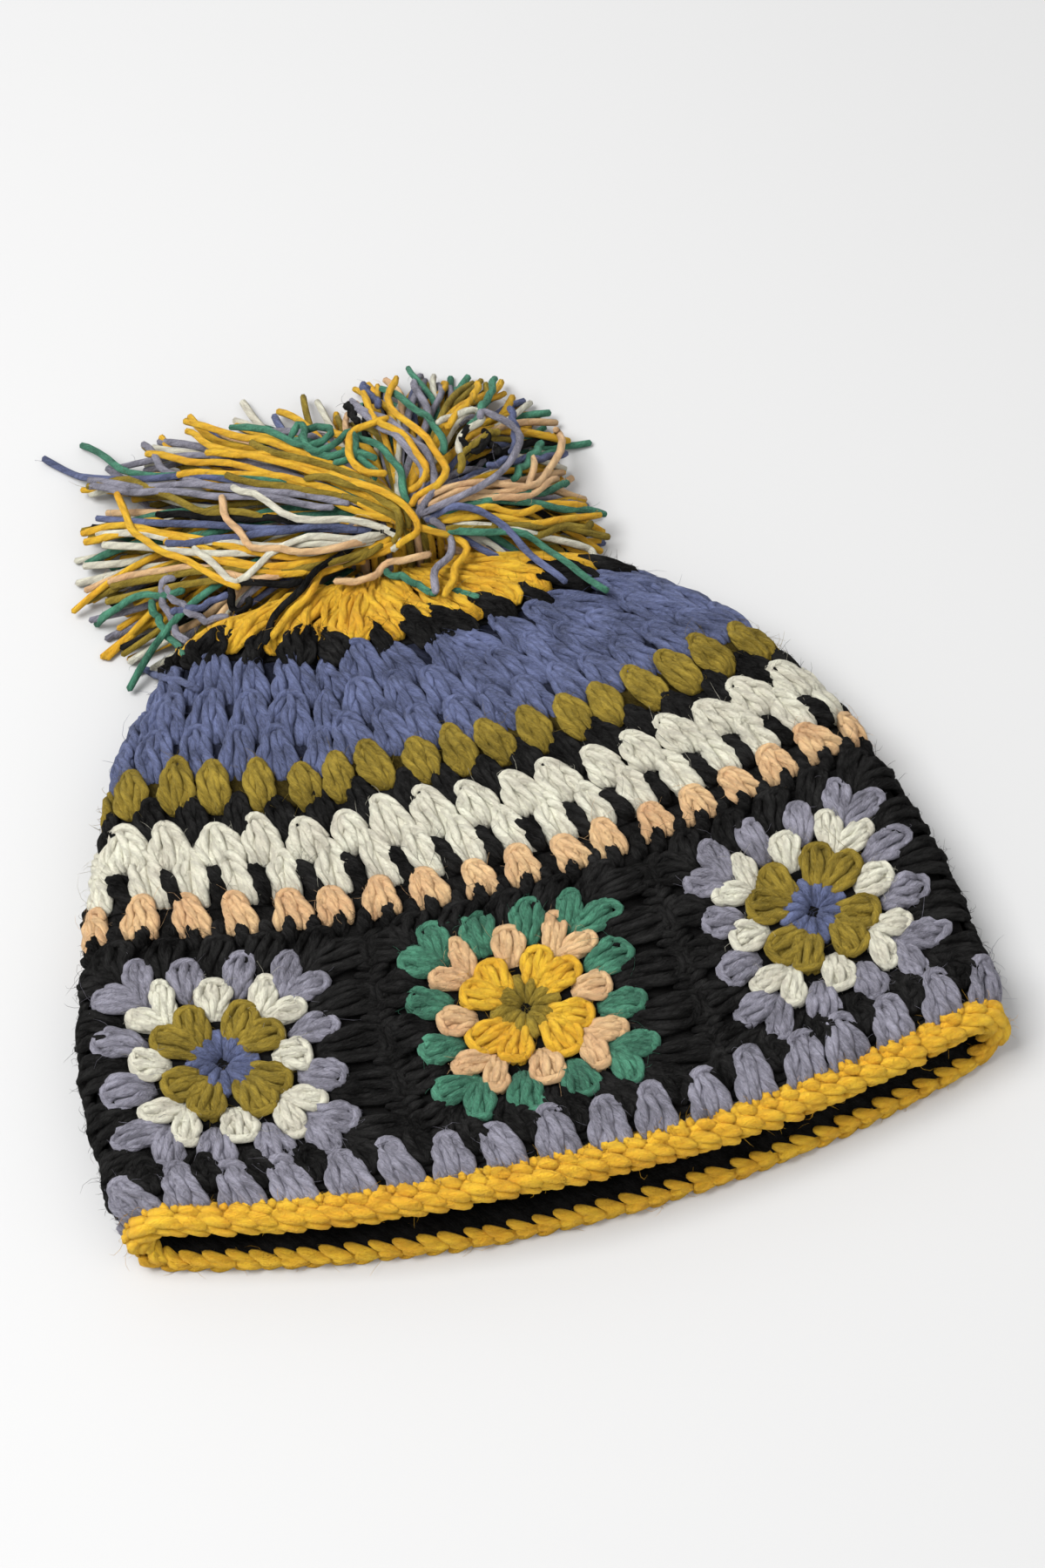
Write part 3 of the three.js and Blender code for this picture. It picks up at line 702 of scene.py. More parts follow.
class Work:
    """The stitches of one piece, gathered as arrays and then made one mesh."""

    def __init__(self, name, seed):
        self.name = name
        self.random = np.random.default_rng(seed)
        self.yarns = []
        self.corners, self.order, self.starts, self.uvs, self.finish = [], [], [], [], []
        self.corner_count = 0
        self.loop_count = 0
        self.surfaces = []

    def yarn_index(self, yarn):
        """A yarn's place in the piece's list of materials."""
        if yarn not in self.yarns:
            self.yarns.append(yarn)
        return self.yarns.index(yarn)

    def add(self, corners, order, starts, uvs, finish):
        """Adds faces, given by their own corners, after those that the piece has."""
        self.corners.append(corners)
        self.order.append(order + self.corner_count)
        self.starts.append(starts + self.loop_count)
        self.uvs.append(uvs)
        self.finish.append(finish)
        self.corner_count += len(corners)
        self.loop_count += len(order)

    def add_bmesh(self, mesh, yarn):
        """Adds a bmesh in one yarn, and frees it."""
        corners, order, starts, uvs = arrays_of(mesh)
        self.add(corners, order, starts, uvs, np.full(len(starts), self.yarn_index(yarn)))
        mesh.free()

    def add_strands(self, centres, outward, radius, yarn, sides=6, hairy=True):
        """Strands of yarn round their centre lines. The yarn may be one name or one for each strand."""
        count, rings = centres.shape[:2]
        corners, order, starts, uvs = strand_template(sides, rings)
        ring = np.clip(np.round(corners[:, 2]).astype(int), 0, rings - 1)
        past = corners[:, 2] - np.clip(corners[:, 2], 0, rings - 1)
        tangent = unit(np.gradient(centres, axis=1))
        across = unit(np.cross(outward, tangent))
        up = np.cross(tangent, across)
        radius = np.broadcast_to(radius, (count, rings))
        places = centres[:, ring] + radius[:, ring, None] * (
            across[:, ring] * corners[:, 0, None]
            + up[:, ring] * corners[:, 1, None]
            + tangent[:, ring] * (1.4 * past)[:, None]
        )
        places[..., 2] = np.maximum(places[..., 2], LOWEST)
        length = np.linalg.norm(np.diff(centres, axis=1), axis=-1).sum(axis=1)
        strand_uvs = np.tile(uvs, (count, 1, 1))
        strand_uvs[..., 1] = strand_uvs[..., 1] * length[:, None] * MM + self.random.random((count, 1))
        offsets = np.arange(count)[:, None]
        names = [yarn] * count if isinstance(yarn, str) else list(yarn)
        finish = np.repeat([self.yarn_index(name) for name in names], len(starts))
        self.add(
            places.reshape(-1, 3),
            (order + offsets * len(corners)).ravel(),
            (starts + offsets * len(order)).ravel(),
            strand_uvs.reshape(-1, 2),
            finish,
        )
        if hairy:
            self.surfaces.append((centres, up, across, tangent, radius, names, length))

    def add_hairs(self, count, longest):
        """Stray hairs that stand off the strands and curl back to them."""
        total = sum(len(s[0]) for s in self.surfaces)
        for centres, up, across, tangent, radius, names, length in self.surfaces:
            share = round(count * len(centres) / total)
            if not share:
                continue
            pick = self.random.integers(0, len(centres), share)
            ring = self.random.integers(1, centres.shape[1] - 1, share)
            angle = self.random.normal(0, 1.0, share)[:, None]
            away = up[pick, ring] * np.cos(angle) + across[pick, ring] * np.sin(angle)
            heading = self.random.choice([-1.0, 1.0], share)[:, None]
            drift = self.random.normal(0, 0.6, (share, 3)) + tangent[pick, ring] * heading
            start = centres[pick, ring] + away * radius[pick, ring, None] * 0.9
            reach = longest * (0.2 + 0.8 * self.random.uniform(0, 1, share) ** 2.5)[:, None]
            curl = self.random.uniform(-0.8, 0.8, (share, 3)) * reach
            route = np.stack([
                start,
                start + away * reach * 0.3 + drift * reach * 0.25,
                start + away * reach * 0.4 + drift * reach * 0.6 + curl * 0.4,
                start + away * reach * 0.25 + drift * reach * 0.8 + curl,
            ], axis=1)
            route[..., 2] = np.maximum(route[..., 2], 0.3)
            facing = np.broadcast_to(away[:, None], route.shape)
            yarn = [names[i] for i in pick]
            self.add_strands(route, facing, HAIR_RADII, yarn, sides=3, hairy=False)

    def finished(self, scene):
        """Makes the piece: one mesh at the origin, in the frame's place."""
        mesh = bpy.data.meshes.new(self.name)
        corners = (np.concatenate(self.corners) + SHIFT) * MM
        order = np.concatenate(self.order)
        starts = np.concatenate(self.starts)
        mesh.vertices.add(len(corners))
        mesh.vertices.foreach_set("co", corners.astype(np.float32).ravel())
        mesh.loops.add(len(order))
        mesh.loops.foreach_set("vertex_index", order.astype(np.int32))
        mesh.polygons.add(len(starts))
        mesh.polygons.foreach_set("loop_start", starts.astype(np.int32))
        mesh.polygons.foreach_set("use_smooth", np.ones(len(starts), dtype=bool))
        mesh.polygons.foreach_set("material_index", np.concatenate(self.finish).astype(np.int32))
        layer = mesh.uv_layers.new(name="yarn")
        layer.data.foreach_set("uv", np.concatenate(self.uvs).astype(np.float32).ravel())
        mesh.update(calc_edges=True)
        if mesh.validate():
            raise RuntimeError(f"{self.name} has faces that aren't sound")
        for yarn in self.yarns:
            mesh.materials.append(wool(yarn, scene))
        piece = bpy.data.objects.new(self.name, mesh)
        scene.collection.objects.link(piece)
        return piece


def add_node(tree, kind, settings=None, inputs=None):
    """Adds a node with its settings. An input is a value, or another node's output to link."""
    node = tree.nodes.new(kind)
    for name, value in (settings or {}).items():
        setattr(node, name, value)
    for name, value in (inputs or {}).items():
        if isinstance(value, bpy.types.NodeSocket):
            tree.links.new(value, node.inputs[name])
        else:
            node.inputs[name].default_value = value
    return node


def wool(yarn, scene):
    """Hand-crochet wool: spun in two plies, dyed in the fleece and brushed by wear. The eye sees a matt,
    slightly haired strand with a slow twist, flecked with lighter and darker fibres, and painted shade
    darkens the grooves of the twist."""
    name = f"{yarn.replace(' ', '_')}_wool"
    if name in bpy.data.materials:
        return bpy.data.materials[name]
    settings = scene.hat_yarn
    shaded = yarn.startswith("shaded ")
    dye = yarn.split()[-1]
    # A 'shaded' yarn is painted shade: its own colour darkened by SHADE, for the backings and the bobble's
    # core.
    colour = np.array(getattr(settings, dye)[:]) * (SHADE if shaded else 1)
    heather = HEATHER.get(dye, PLAIN_HEATHER)
    material = bpy.data.materials.new(name)
    material.use_nodes = True
    tree = material.node_tree
    tree.nodes.clear()
    place = add_node(tree, "ShaderNodeTexCoord")
    twist = add_node(
        tree, "ShaderNodeVectorMath", {"operation": "DOT_PRODUCT"},
        {0: place.outputs["UV"], 1: (2 * math.pi, math.pi / settings.ply_pitch, 0)},
    )
    turned = add_node(
        tree, "ShaderNodeMath", {"operation": "MULTIPLY"}, {0: twist.outputs["Value"], 1: PLIES}
    )
    plies = add_node(tree, "ShaderNodeMath", {"operation": "SINE"}, {0: turned.outputs[0]})
    sine, cosine = (
        add_node(tree, "ShaderNodeMath", {"operation": kind}, {0: twist.outputs["Value"]}).outputs[0]
        for kind in ("SINE", "COSINE")
    )
    length = add_node(tree, "ShaderNodeSeparateXYZ", {}, {0: place.outputs["UV"]})
    along = add_node(
        tree, "ShaderNodeMath", {"operation": "MULTIPLY"}, {0: length.outputs["Y"], 1: 1 / (4 * MM)}
    )
    wound = add_node(
        tree, "ShaderNodeCombineXYZ", {}, {"X": sine, "Y": cosine, "Z": along.outputs[0]}
    )
    fibres = add_node(
        tree, "ShaderNodeTexNoise", {},
        {"Vector": wound.outputs["Vector"], "Scale": 3.0, "Detail": 4.0, "Roughness": 0.85},
    )
    flecks = add_node(
        tree, "ShaderNodeTexNoise", {},
        {"Vector": place.outputs["Object"], "Scale": 1 / (0.9 * MM), "Detail": 2.0, "Roughness": 0.7},
    )
    patches = add_node(
        tree, "ShaderNodeTexNoise", {},
        {"Vector": place.outputs["Object"], "Scale": 1 / (9 * MM), "Detail": 1.0},
    )
    mixture = add_node(
        tree, "ShaderNodeMath", {"operation": "MULTIPLY_ADD"},
        {0: patches.outputs["Fac"], 1: 0.5, 2: fibres.outputs["Fac"]},
    )
    share = add_node(
        tree, "ShaderNodeMapRange", {"clamp": True},
        {"Value": mixture.outputs[0], "From Min": 0.56, "From Max": 0.94, "To Min": 0.0, "To Max": 1.0},
    )
    paler = np.minimum(colour * (1 + 1.4 * heather) + 0.03 * heather, 0.95)
    deeper = colour * (1 - heather)
    dyed = add_node(
        tree, "ShaderNodeMix", {"data_type": "RGBA"},
        {"Factor": share.outputs["Result"], 6: (*deeper, 1), 7: (*paler, 1)},
    )
    # Painted shade: the troughs of the ply twist are darkened towards about a third of the yarn's colour,
    # where shade falls between the plies.
    groove = add_node(
        tree, "ShaderNodeMapRange", {"clamp": True},
        {"Value": plies.outputs[0], "From Min": -1.0, "From Max": -0.1, "To Min": 0.36, "To Max": 0.0},
    )
    shaded_dye = add_node(
        tree, "ShaderNodeMix", {"data_type": "RGBA"},
        {"Factor": groove.outputs["Result"], 6: dyed.outputs[2], 7: (*(colour * 0.35), 1)},
    )
    ply_bump = add_node(
        tree, "ShaderNodeBump", {}, {"Strength": 0.7, "Distance": 0.5 * MM, "Height": plies.outputs[0]}
    )
    fibre_bump = add_node(
        tree, "ShaderNodeBump", {},
        {
            "Strength": 1.0,
            "Distance": 0.9 * MM,
            "Height": fibres.outputs["Fac"],
            "Normal": ply_bump.outputs["Normal"],
        },
    )
    hair_bump = add_node(
        tree, "ShaderNodeBump", {},
        {
            "Strength": 0.8,
            "Distance": 0.5 * MM,
            "Height": flecks.outputs["Fac"],
            "Normal": fibre_bump.outputs["Normal"],
        },
    )
    shader = add_node(
        tree, "ShaderNodeBsdfPrincipled", {},
        {
            "Base Color": shaded_dye.outputs[2],
            "Roughness": 0.92,
            "IOR": 1.5,
            "Specular IOR Level": 0.06 if yarn == "black" or shaded else 0.2,
            "Sheen Weight": 0.04 if yarn == "black" or shaded else 0.5,
            "Sheen Roughness": 0.4,
            "Sheen Tint": (*np.sqrt(colour), 1),
            "Normal": hair_bump.outputs["Normal"],
        },
    )
    add_node(tree, "ShaderNodeOutputMaterial", {}, {"Surface": shader.outputs["BSDF"]})
    return material


def ring_shell(sections, steps=120):
    """The fabric behind the stitches: a closed surface through sections given as (along, lift, side)."""
    mesh = bmesh.new()
    mesh.loops.layers.uv.new("yarn")
    bmesh.ops.create_grid(mesh, x_segments=steps, y_segments=len(sections) - 1, size=0.5, calc_uvs=True)
    turns = np.array([v.co.x + 0.5 for v in mesh.verts]) % 1.0
    rows = np.array([round((v.co.y + 0.5) * (len(sections) - 1)) for v in mesh.verts])
    along, lift, side = np.array(sections)[rows].T
    within = (side == INSIDE) | (side == INNER_END)
    places = np.where(within[:, None], fabric(turns, along, -WALL / 2 + lift), face(turns, along, lift))
    closed = set(rows[(side == INNER_END) | (side == OUTER_END)])
    middles = {row: places[rows == row].mean(axis=0) for row in closed}
    for vert, place, row, kind in zip(mesh.verts, places, rows, side):
        if row in closed:
            place = middles[row] + np.array([0, -INNER_DIMPLE if kind == INNER_END else 0, 0])
        vert.co = (place[0], place[1], max(place[2], LOWEST))
    layer = mesh.loops.layers.uv.active
    for polygon in mesh.faces:
        for loop in polygon.loops:
            loop[layer].uv = (loop[layer].uv[0] * 60, loop[layer].uv[1] * len(sections) * 0.01)
    bmesh.ops.remove_doubles(mesh, verts=mesh.verts, dist=1e-3)
    return mesh


def square_shell(index):
    """The fabric behind a square: a flat slab, drawn in turn, along and lift, then bent round the hat."""
    mesh = bmesh.new()
    mesh.loops.layers.uv.new("yarn")
    bmesh.ops.create_grid(mesh, x_segments=16, y_segments=10, size=0.5, calc_uvs=True)
    raised = bmesh.ops.extrude_face_region(mesh, geom=mesh.faces[:])
    inner = [item for item in raised["geom"] if isinstance(item, bmesh.types.BMVert)]
    bmesh.ops.translate(mesh, verts=inner, vec=(0, 0, -1))
    bmesh.ops.recalc_face_normals(mesh, faces=mesh.faces)
    flat = np.array([v.co[:] for v in mesh.verts])
    turn = (index + 0.5 + flat[:, 0] * (1 - 2 * HALF_SIDE_SEAM)) / SQUARE_COUNT
    height = SQUARES_END - SQUARES_START - 2 * HALF_SEAM
    along = SQUARES_START + HALF_SEAM + height * (flat[:, 1] + 0.5)
    outer = face(turn, along, -BACKING_DROP)
    lining = fabric(turn, along, -WALL / 2)
    places = np.where(flat[:, 2:] > -0.5, outer, lining)
    for vert, place in zip(mesh.verts, places):
        vert.co = (place[0], place[1], max(place[2], LOWEST))
    return mesh


def twisted_posts(random, count, shape, posts, radius):
    """The strands of many like clusters. Each post is a pair of strands twisted round each other. For
    each ring it gives the side as a share of the half width, more side in millimetres, the height as a
    share of the cluster's, and the lift and radius in millimetres."""
    profile = np.array(SHAPES[shape])
    run = np.linspace(0, 1, STRAND_RINGS)
    half = np.interp(run, profile[:, 0], profile[:, 1])
    rise = np.interp(run, profile[:, 0], profile[:, 2])
    sides = np.linspace(-1, 1, posts) if posts > 1 else np.zeros(1)
    spread = (count, posts, 1, 1)
    outer = np.abs(sides)[None, :, None, None]
    place = sides[None, :, None, None] + random.uniform(-0.12, 0.12, spread)
    bend = random.uniform(-0.25, 0.25, spread) * (run - 0.5)
    start = random.uniform(0, 2 * np.pi, spread) + np.array([0, np.pi])[:, None]
    angle = start + 2 * np.pi * random.uniform(0.6, 1.0, spread) * run
    apart = radius * 0.72 * random.uniform(0.85, 1.1, spread)
    shape_of = (count, posts, 2, STRAND_RINGS)
    share = np.broadcast_to((place + bend) * half, shape_of)
    more = np.broadcast_to(apart * np.cos(angle), shape_of)
    height = np.broadcast_to(run * (1 - 0.1 * outer), shape_of)
    lift = rise + 0.7 * apart * np.sin(angle) + 0.35 * (1 - outer) + random.uniform(-0.2, 0.2, spread)
    thick = radius * random.uniform(0.92, 1.08, spread) * RING_RADII * random.uniform(0.9, 1.1, shape_of)
    parts = [array.reshape(count, posts * 2, STRAND_RINGS) for array in (share, more, height, lift, thick)]
    if shape in TOP_LOOPS:
        loop = smooth_route(TOP_LOOPS[shape], STRAND_RINGS)
        loops = [loop[:, 0], 0 * run, loop[:, 1], loop[:, 2], radius * 1.05 * RING_RADII]
        for number, values in enumerate(loops):
            wobble = 1 + random.uniform(-0.06, 0.06, (count, 1, 1))
            parts[number] = np.concatenate([parts[number], values * wobble], axis=1)
    return parts


def stuffing(random, count, shape, posts, radius):
    """Thick strands under the posts, so that a cluster is full, laid out as twisted_posts lays them."""
    profile = np.array(SHAPES[shape])
    run = np.linspace(0, 1, STRAND_RINGS)
    half = np.interp(run, profile[:, 0], profile[:, 1])
    sides = np.array([-0.62, 0.0, 0.62]) if posts > 2 else np.array([-0.5, 0.5])
    shape_of = (count, len(sides), STRAND_RINGS)
    share = np.broadcast_to(sides[:, None] * half * 1.1, shape_of)
    height = np.broadcast_to(run * 0.98, shape_of)
    lift = np.broadcast_to(np.interp(run, profile[:, 0], profile[:, 2]) * 0.4 - 0.9, shape_of)
    thick = np.broadcast_to(radius * 1.5 * RING_RADII, shape_of)
    return [share, 0 * share, height, lift, thick]


def lay(work, turn, along, lift, radius, yarn, hairy=True):
    """Lays strands, given round and along the hat, on the outside of the fabric."""
    rings = turn.shape[-1]
    values = [np.broadcast_to(array, turn.shape).reshape(-1, rings) for array in (turn, along, lift, radius)]
    turn, along, lift, radius = values
    centres = face(turn, along, lift)
    outward = unit(face(turn, along, lift + 1) - centres)
    work.add_strands(centres, outward, radius, yarn, hairy=hairy)


def crochet_row(work, row):
    """A row of clusters right round the hat."""
    random = work.random
    count = row.count
    spread = (count, 1, 1)
    cluster = (np.arange(count) + row.phase + random.uniform(-0.08, 0.08, count))[:, None, None]
    wide = random.uniform(0.9, 1.08, spread)
    tall = (row.top - row.foot) * random.uniform(0.94, 1.07, spread)
    skew = row.lean + random.uniform(-0.12, 0.12, spread)
    for make, hairy in ((twisted_posts, True), (stuffing, False)):
        share, more, height, lift, thick = make(random, count, row.shape, row.posts, row.radius)
        along = row.foot + tall * height
        room = loop_room(along) / count
        scale = np.minimum(1, room / (row.posts * 3.3)) if row.shape == "spear" else 1
        half = np.maximum(row.width / 2 * room - 1.55 * row.radius * scale, 0.2) * wide
        side = (share * half + more * scale) / room
        turn = (cluster + side + skew * (height - 0.5)) / count
        lay(work, turn, along, lift + row.raised, thick * scale, row.yarn, hairy)


def square_clusters(square_round):
    """The foot, tip and width of each cluster in a round of a square, in the square's millimetres."""
    inner, outer, clusters = square_round[:3]
    feet, tips, widths = [], [], []
    for quarter in range(4):
        angle = quarter * math.pi / 2
        out = np.array([math.cos(angle), math.sin(angle)])
        beside = np.array([-out[1], out[0]])
        for place in np.linspace(-1, 1, clusters):
            corner = abs(place) > 0.99
            foot, foot_side = (square_round.foot, square_round.foot) if corner else SIDE_FOOT
            tip_side = square_round.tip if corner else SIDE_TIP
            feet.append(out * inner * foot + beside * place * inner * foot_side)
            tips.append(out * outer + beside * place * outer * tip_side)
            widths.append(square_round.corner_width if corner else square_round.width)
    return np.array(feet), np.array(tips), np.array(widths)


def crochet_square(work, index, yarns, radius):
    """The five rounds of a granny square."""
    random = work.random
    offset = SQUARE_OFFSETS[index]

    def lay_flat(places, lift, thickness, yarn, hairy=True):
        across = np.sign(places[..., 0]) * np.interp(np.abs(places[..., 0]), *SQUARE_ACROSS)
        inner = 1 - smooth(*SHIFT_FADES, np.abs(places).max(axis=-1))
        turn = (index + 0.5 + (across + inner * offset[0]) / SQUARE_SPAN) / SQUARE_COUNT
        along = np.interp(places[..., 1], *SQUARE_ALONG) + inner * offset[1] / HAT_LENGTH
        lay(work, turn, along, lift, thickness, yarn, hairy)

    for shift, drop in ((0, 0), (0.5, 1.1)):
        angles = (np.arange(SPOKES) + shift) * 2 * math.pi / SPOKES + random.uniform(-0.08, 0.08, SPOKES)
        pointed = 1 + 0.25 * np.cos(2 * angles) ** 2
        run = np.linspace(0.2, 1, STRAND_RINGS)
        reach = SPOKE_REACH * pointed[:, None] * run
        places = np.stack([reach * np.cos(angles)[:, None], reach * np.sin(angles)[:, None]], axis=-1)
        rise = np.interp(run, (0.2, 0.4, 0.7, 1), (-2.4, 0.2, 1.0, -0.4)) - drop
        rise = rise + random.uniform(-0.3, 0.3, (SPOKES, 1))
        thickness = radius * np.interp(run, (0.2, 0.5, 1), (0.7, 1.1, 1.6)) * np.ones((SPOKES, 1))
        lay_flat(places, rise, thickness, yarns[0])
    for square_round, yarn in zip(SQUARE_ROUNDS, yarns[1:]):
        feet, tips, widths = square_clusters(square_round)
        count = len(feet)
        heading = (tips - feet)[:, None, None]
        beside = unit(np.stack([-heading[..., 1], heading[..., 0]], axis=-1))
        spread = (count, 1, 1)
        half = (widths[:, None, None] / 2 - 1.55 * radius) * random.uniform(0.9, 1.08, spread)
        stretch = random.uniform(0.95, 1.05, spread)
        for make, hairy in ((twisted_posts, True), (stuffing, False)):
            share, more, height, lift, thick = make(random, count, "petal", 3, radius)
            side = share * half + more
            places = feet[:, None, None] + heading * (height * stretch)[..., None] + beside * side[..., None]
            lay_flat(places, lift + 0.2, thick, yarn, hairy)


def crochet_seam(work, index, radius):
    """The black stitches that join a square to the one before it: slanted pairs over the seam."""
    random = work.random
    spread = (SEAM_STITCHES, 1)
    run = np.linspace(0, 1, SHORT_RINGS)
    bow = np.sin(np.pi * run)
    for side in (-1, 1):
        at = np.arange(SEAM_STITCHES)[:, None] + random.uniform(-0.15, 0.15, spread) + 0.25 * side
        across = side * (6.2 * run - 1.4) + random.uniform(-0.6, 0.6, spread)
        rise = (at + 0.9 * run) / SEAM_STITCHES
        along = SQUARES_START + (SQUARES_END - SQUARES_START - 0.02) * rise
        turn = (index + across / SQUARE_SPAN) / SQUARE_COUNT
        lift = 0.1 + 1.1 * bow + random.uniform(-0.3, 0.3, spread)
        lay(work, turn, along, lift, radius * (0.7 + 0.5 * bow), "black")


def crochet_edge(work, stitches):
    """The single crochet round the mouth: slanted ovals over the lip and short legs above them."""
    random = work.random
    run = np.linspace(0, 1, SHORT_RINGS)
    bow = np.sin(np.pi * run)
    spread = (stitches, 1)
    for sides, ups, lifts, radius in EDGE_STRANDS:
        at = np.arange(stitches)[:, None] + random.uniform(-0.1, 0.1, spread)
        turn = (at + sides[0] + (sides[1] - sides[0]) * run) / stitches
        up = ups[0] + (ups[1] - ups[0]) * run + random.uniform(-0.35, 0.35, spread)
        lift = lifts[0] + (lifts[1] - lifts[0]) * run + 0.7 * bow + random.uniform(-0.25, 0.25, spread)
        thickness = radius * (0.5 + 0.5 * np.sqrt(bow)) * random.uniform(0.92, 1.08, spread)
        lay(work, turn, up / HAT_LENGTH, lift, thickness, "yellow")


def ring_sections(start, end, steps):
    """Up the outside of a round and down its inside."""
    along = np.linspace(start + HALF_SEAM, end - HALF_SEAM, steps + 1)
    sections = [(a, -BACKING_DROP, OUTSIDE) for a in along]
    return sections + [(along[-1], 0.0, INSIDE), (along[0], 0.0, INSIDE), sections[0]]


def crown_sections(start):
    """Out from the inner middle, down the inside, up the outside and in to the closed end."""
    inner_end = 1 - WALL / HAT_LENGTH
    inner = np.linspace(inner_end, start + HALF_SEAM, 6)
    outer = np.linspace(start + HALF_SEAM, 1, 7)
    sections = [(inner_end, 0.0, INNER_END)] + [(a, 0.0, INSIDE) for a in inner]
    return sections + [(a, -BACKING_DROP, OUTSIDE) for a in outer] + [(1.0, -BACKING_DROP, OUTER_END)]


def dress(work, scene, node):
    """Makes the piece, which then stands for its CAD node."""
    settings = scene.hat_yarn
    count = round(settings.hair_count * HAIR_SHARES.get(node, HAIR_SHARE))
    work.add_hairs(count, settings.hair_length / MM)
    piece = work.finished(scene)
    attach(piece, "root")
    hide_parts(node)
    return piece


class HAT_OT_edge(bpy.types.Operator):
    """Crochets the single round along the mouth"""

    bl_idname = "hat.edge"
    bl_label = "Crochet the edge"

    def execute(self, context):
        scene = context.scene
        work = Work("edge_stitches", scene.hat_stitches.seed)
        work.add_bmesh(ring_shell(ring_sections(0.0, EDGE_END, 1)), "black")
        crochet_edge(work, scene.hat_stitches.edge_stitches)
        dress(work, scene, "edge_round")
        return {"FINISHED"}


class HAT_OT_rounds(bpy.types.Operator):
    """Crochets the striped rounds between the edge and the crown"""

    bl_idname = "hat.rounds"
    bl_label = "Crochet the rounds"

    def execute(self, context):
        scene = context.scene
        for number, hat_round in enumerate(ROUNDS):
            work = Work(hat_round.piece + "_stitches", scene.hat_stitches.seed + 10 + number)
            sections = ring_sections(hat_round.start, hat_round.end, hat_round.steps)
            work.add_bmesh(ring_shell(sections), hat_round.backing)
            for row in ROWS:
                if row.piece == hat_round.piece:
                    crochet_row(work, row)
            dress(work, scene, hat_round.piece)
        return {"FINISHED"}


class HAT_OT_squares(bpy.types.Operator):
    """Crochets the six granny squares, in two colourings by turns"""

    bl_idname = "hat.squares"
    bl_label = "Crochet the squares"

    def execute(self, context):
        scene = context.scene
        for index in range(SQUARE_COUNT):
            node = f"square_{index + 1}"
            work = Work(node + "_stitches", scene.hat_stitches.seed + 30 + index)
            work.add_bmesh(square_shell(index), "black")
            radius = scene.hat_stitches.square_yarn / MM
            crochet_square(work, index, SQUARE_YARNS[index % len(SQUARE_YARNS)], radius)
            crochet_seam(work, index, radius)
            dress(work, scene, node)
        return {"FINISHED"}


class HAT_OT_crown(bpy.types.Operator):
    """Crochets the yellow crown, which closes to the gathered top"""

    bl_idname = "hat.crown"
    bl_label = "Crochet the crown"

    def execute(self, context):
        scene = context.scene
        work = Work("yellow_crown_stitches", scene.hat_stitches.seed + 50)
        # The crown's backing is painted shade: the yellow darkened by SHADE.
        work.add_bmesh(ring_shell(crown_sections(CROWN_START)), "shaded yellow")
        for row in ROWS:
            if row.piece == "yellow_crown":
                crochet_row(work, row)
        dress(work, scene, "yellow_crown")
        return {"FINISHED"}


def tie_middle():
    """The middle of the bobble's tie, in the solids' own millimetres."""
    crown_end = fabric(0.25, 1.0, WALL / 2)[1]
    return np.array([TIE_OFFSET, crown_end + TIE_GAP + TIE_DEPTH / 2, TIE_HEIGHT / 2])


def mound(share):
    """The height of the heap of strands at a share of its reach."""
    return TIE_HEIGHT * (1 - 0.18 * share - 0.66 * share**2.6)


def backwards(azimuth, elevation):
    """The direction from what the camera sees to the camera."""
    level = math.cos(elevation)
    return np.array([math.sin(azimuth) * level, -math.cos(azimuth) * level, math.sin(elevation)])


def sight_lines(pixels):
    """Where the photo's camera stands and which way it sees each pixel, in the solids' millimetres."""
    azimuth = math.radians(PHOTO_AZIMUTH)
    back = backwards(azimuth, math.radians(PHOTO_ELEVATION))
    right = np.array([math.cos(azimuth), math.sin(azimuth), 0])
    up = np.cross(back, right)
    eye = (np.array(PHOTO_AIM) + back * PHOTO_DISTANCE) / MM - SHIFT
    focal = PHOTO_LENS / SENSOR_HEIGHT * PHOTO_SIZE[1]
    from_middle = np.array(pixels) - np.array(PHOTO_SIZE) / 2
    return eye, from_middle[:, :1] * right - from_middle[:, 1:] * up - focal * back


def carrier_heights(places, hat_top, tie):
    """The height of what carries a strand at each place: the floor, the hat or the heap of strands."""
    away = np.linalg.norm(hat_top[:, None, :2] - places[None, :, :2], axis=-1)
    nearest = away.argmin(axis=0)
    on_hat = away.min(axis=0) < HAT_TOP_NEAR
    from_tie = places[:, :2] - tie[:2]
    azimuth = (np.degrees(np.arctan2(from_tie[:, 1], from_tie[:, 0])) + 60) % 360 - 60
    azimuths, reaches = np.array(REACH).T
    reach = np.interp(azimuth, azimuths, reaches, BEHIND_REACH, BEHIND_REACH)
    share = np.linalg.norm(from_tie, axis=1) / reach
    heap = np.where(share < 1, mound(np.minimum(share, 1)), 0)
    return np.maximum(np.where(on_hat, hat_top[nearest, 2], 0), heap)


def top_route(strand, hat_top, tie):
    """The places that a strand on top runs through: down each sight line, to rest on what carries it."""
    eye, sights = sight_lines(strand.pixels)
    height = np.full(len(sights), SIGHT_START)
    for _ in range(SIGHT_STEPS):
        places = eye + sights * ((height - eye[2]) / sights[:, 2])[:, None]
        rest = carrier_heights(places, hat_top, tie) + STRAND_RADIUS + strand.lift
        height = height + SIGHT_SHARE * (rest - height)
    places[:, 2] = height
    return places


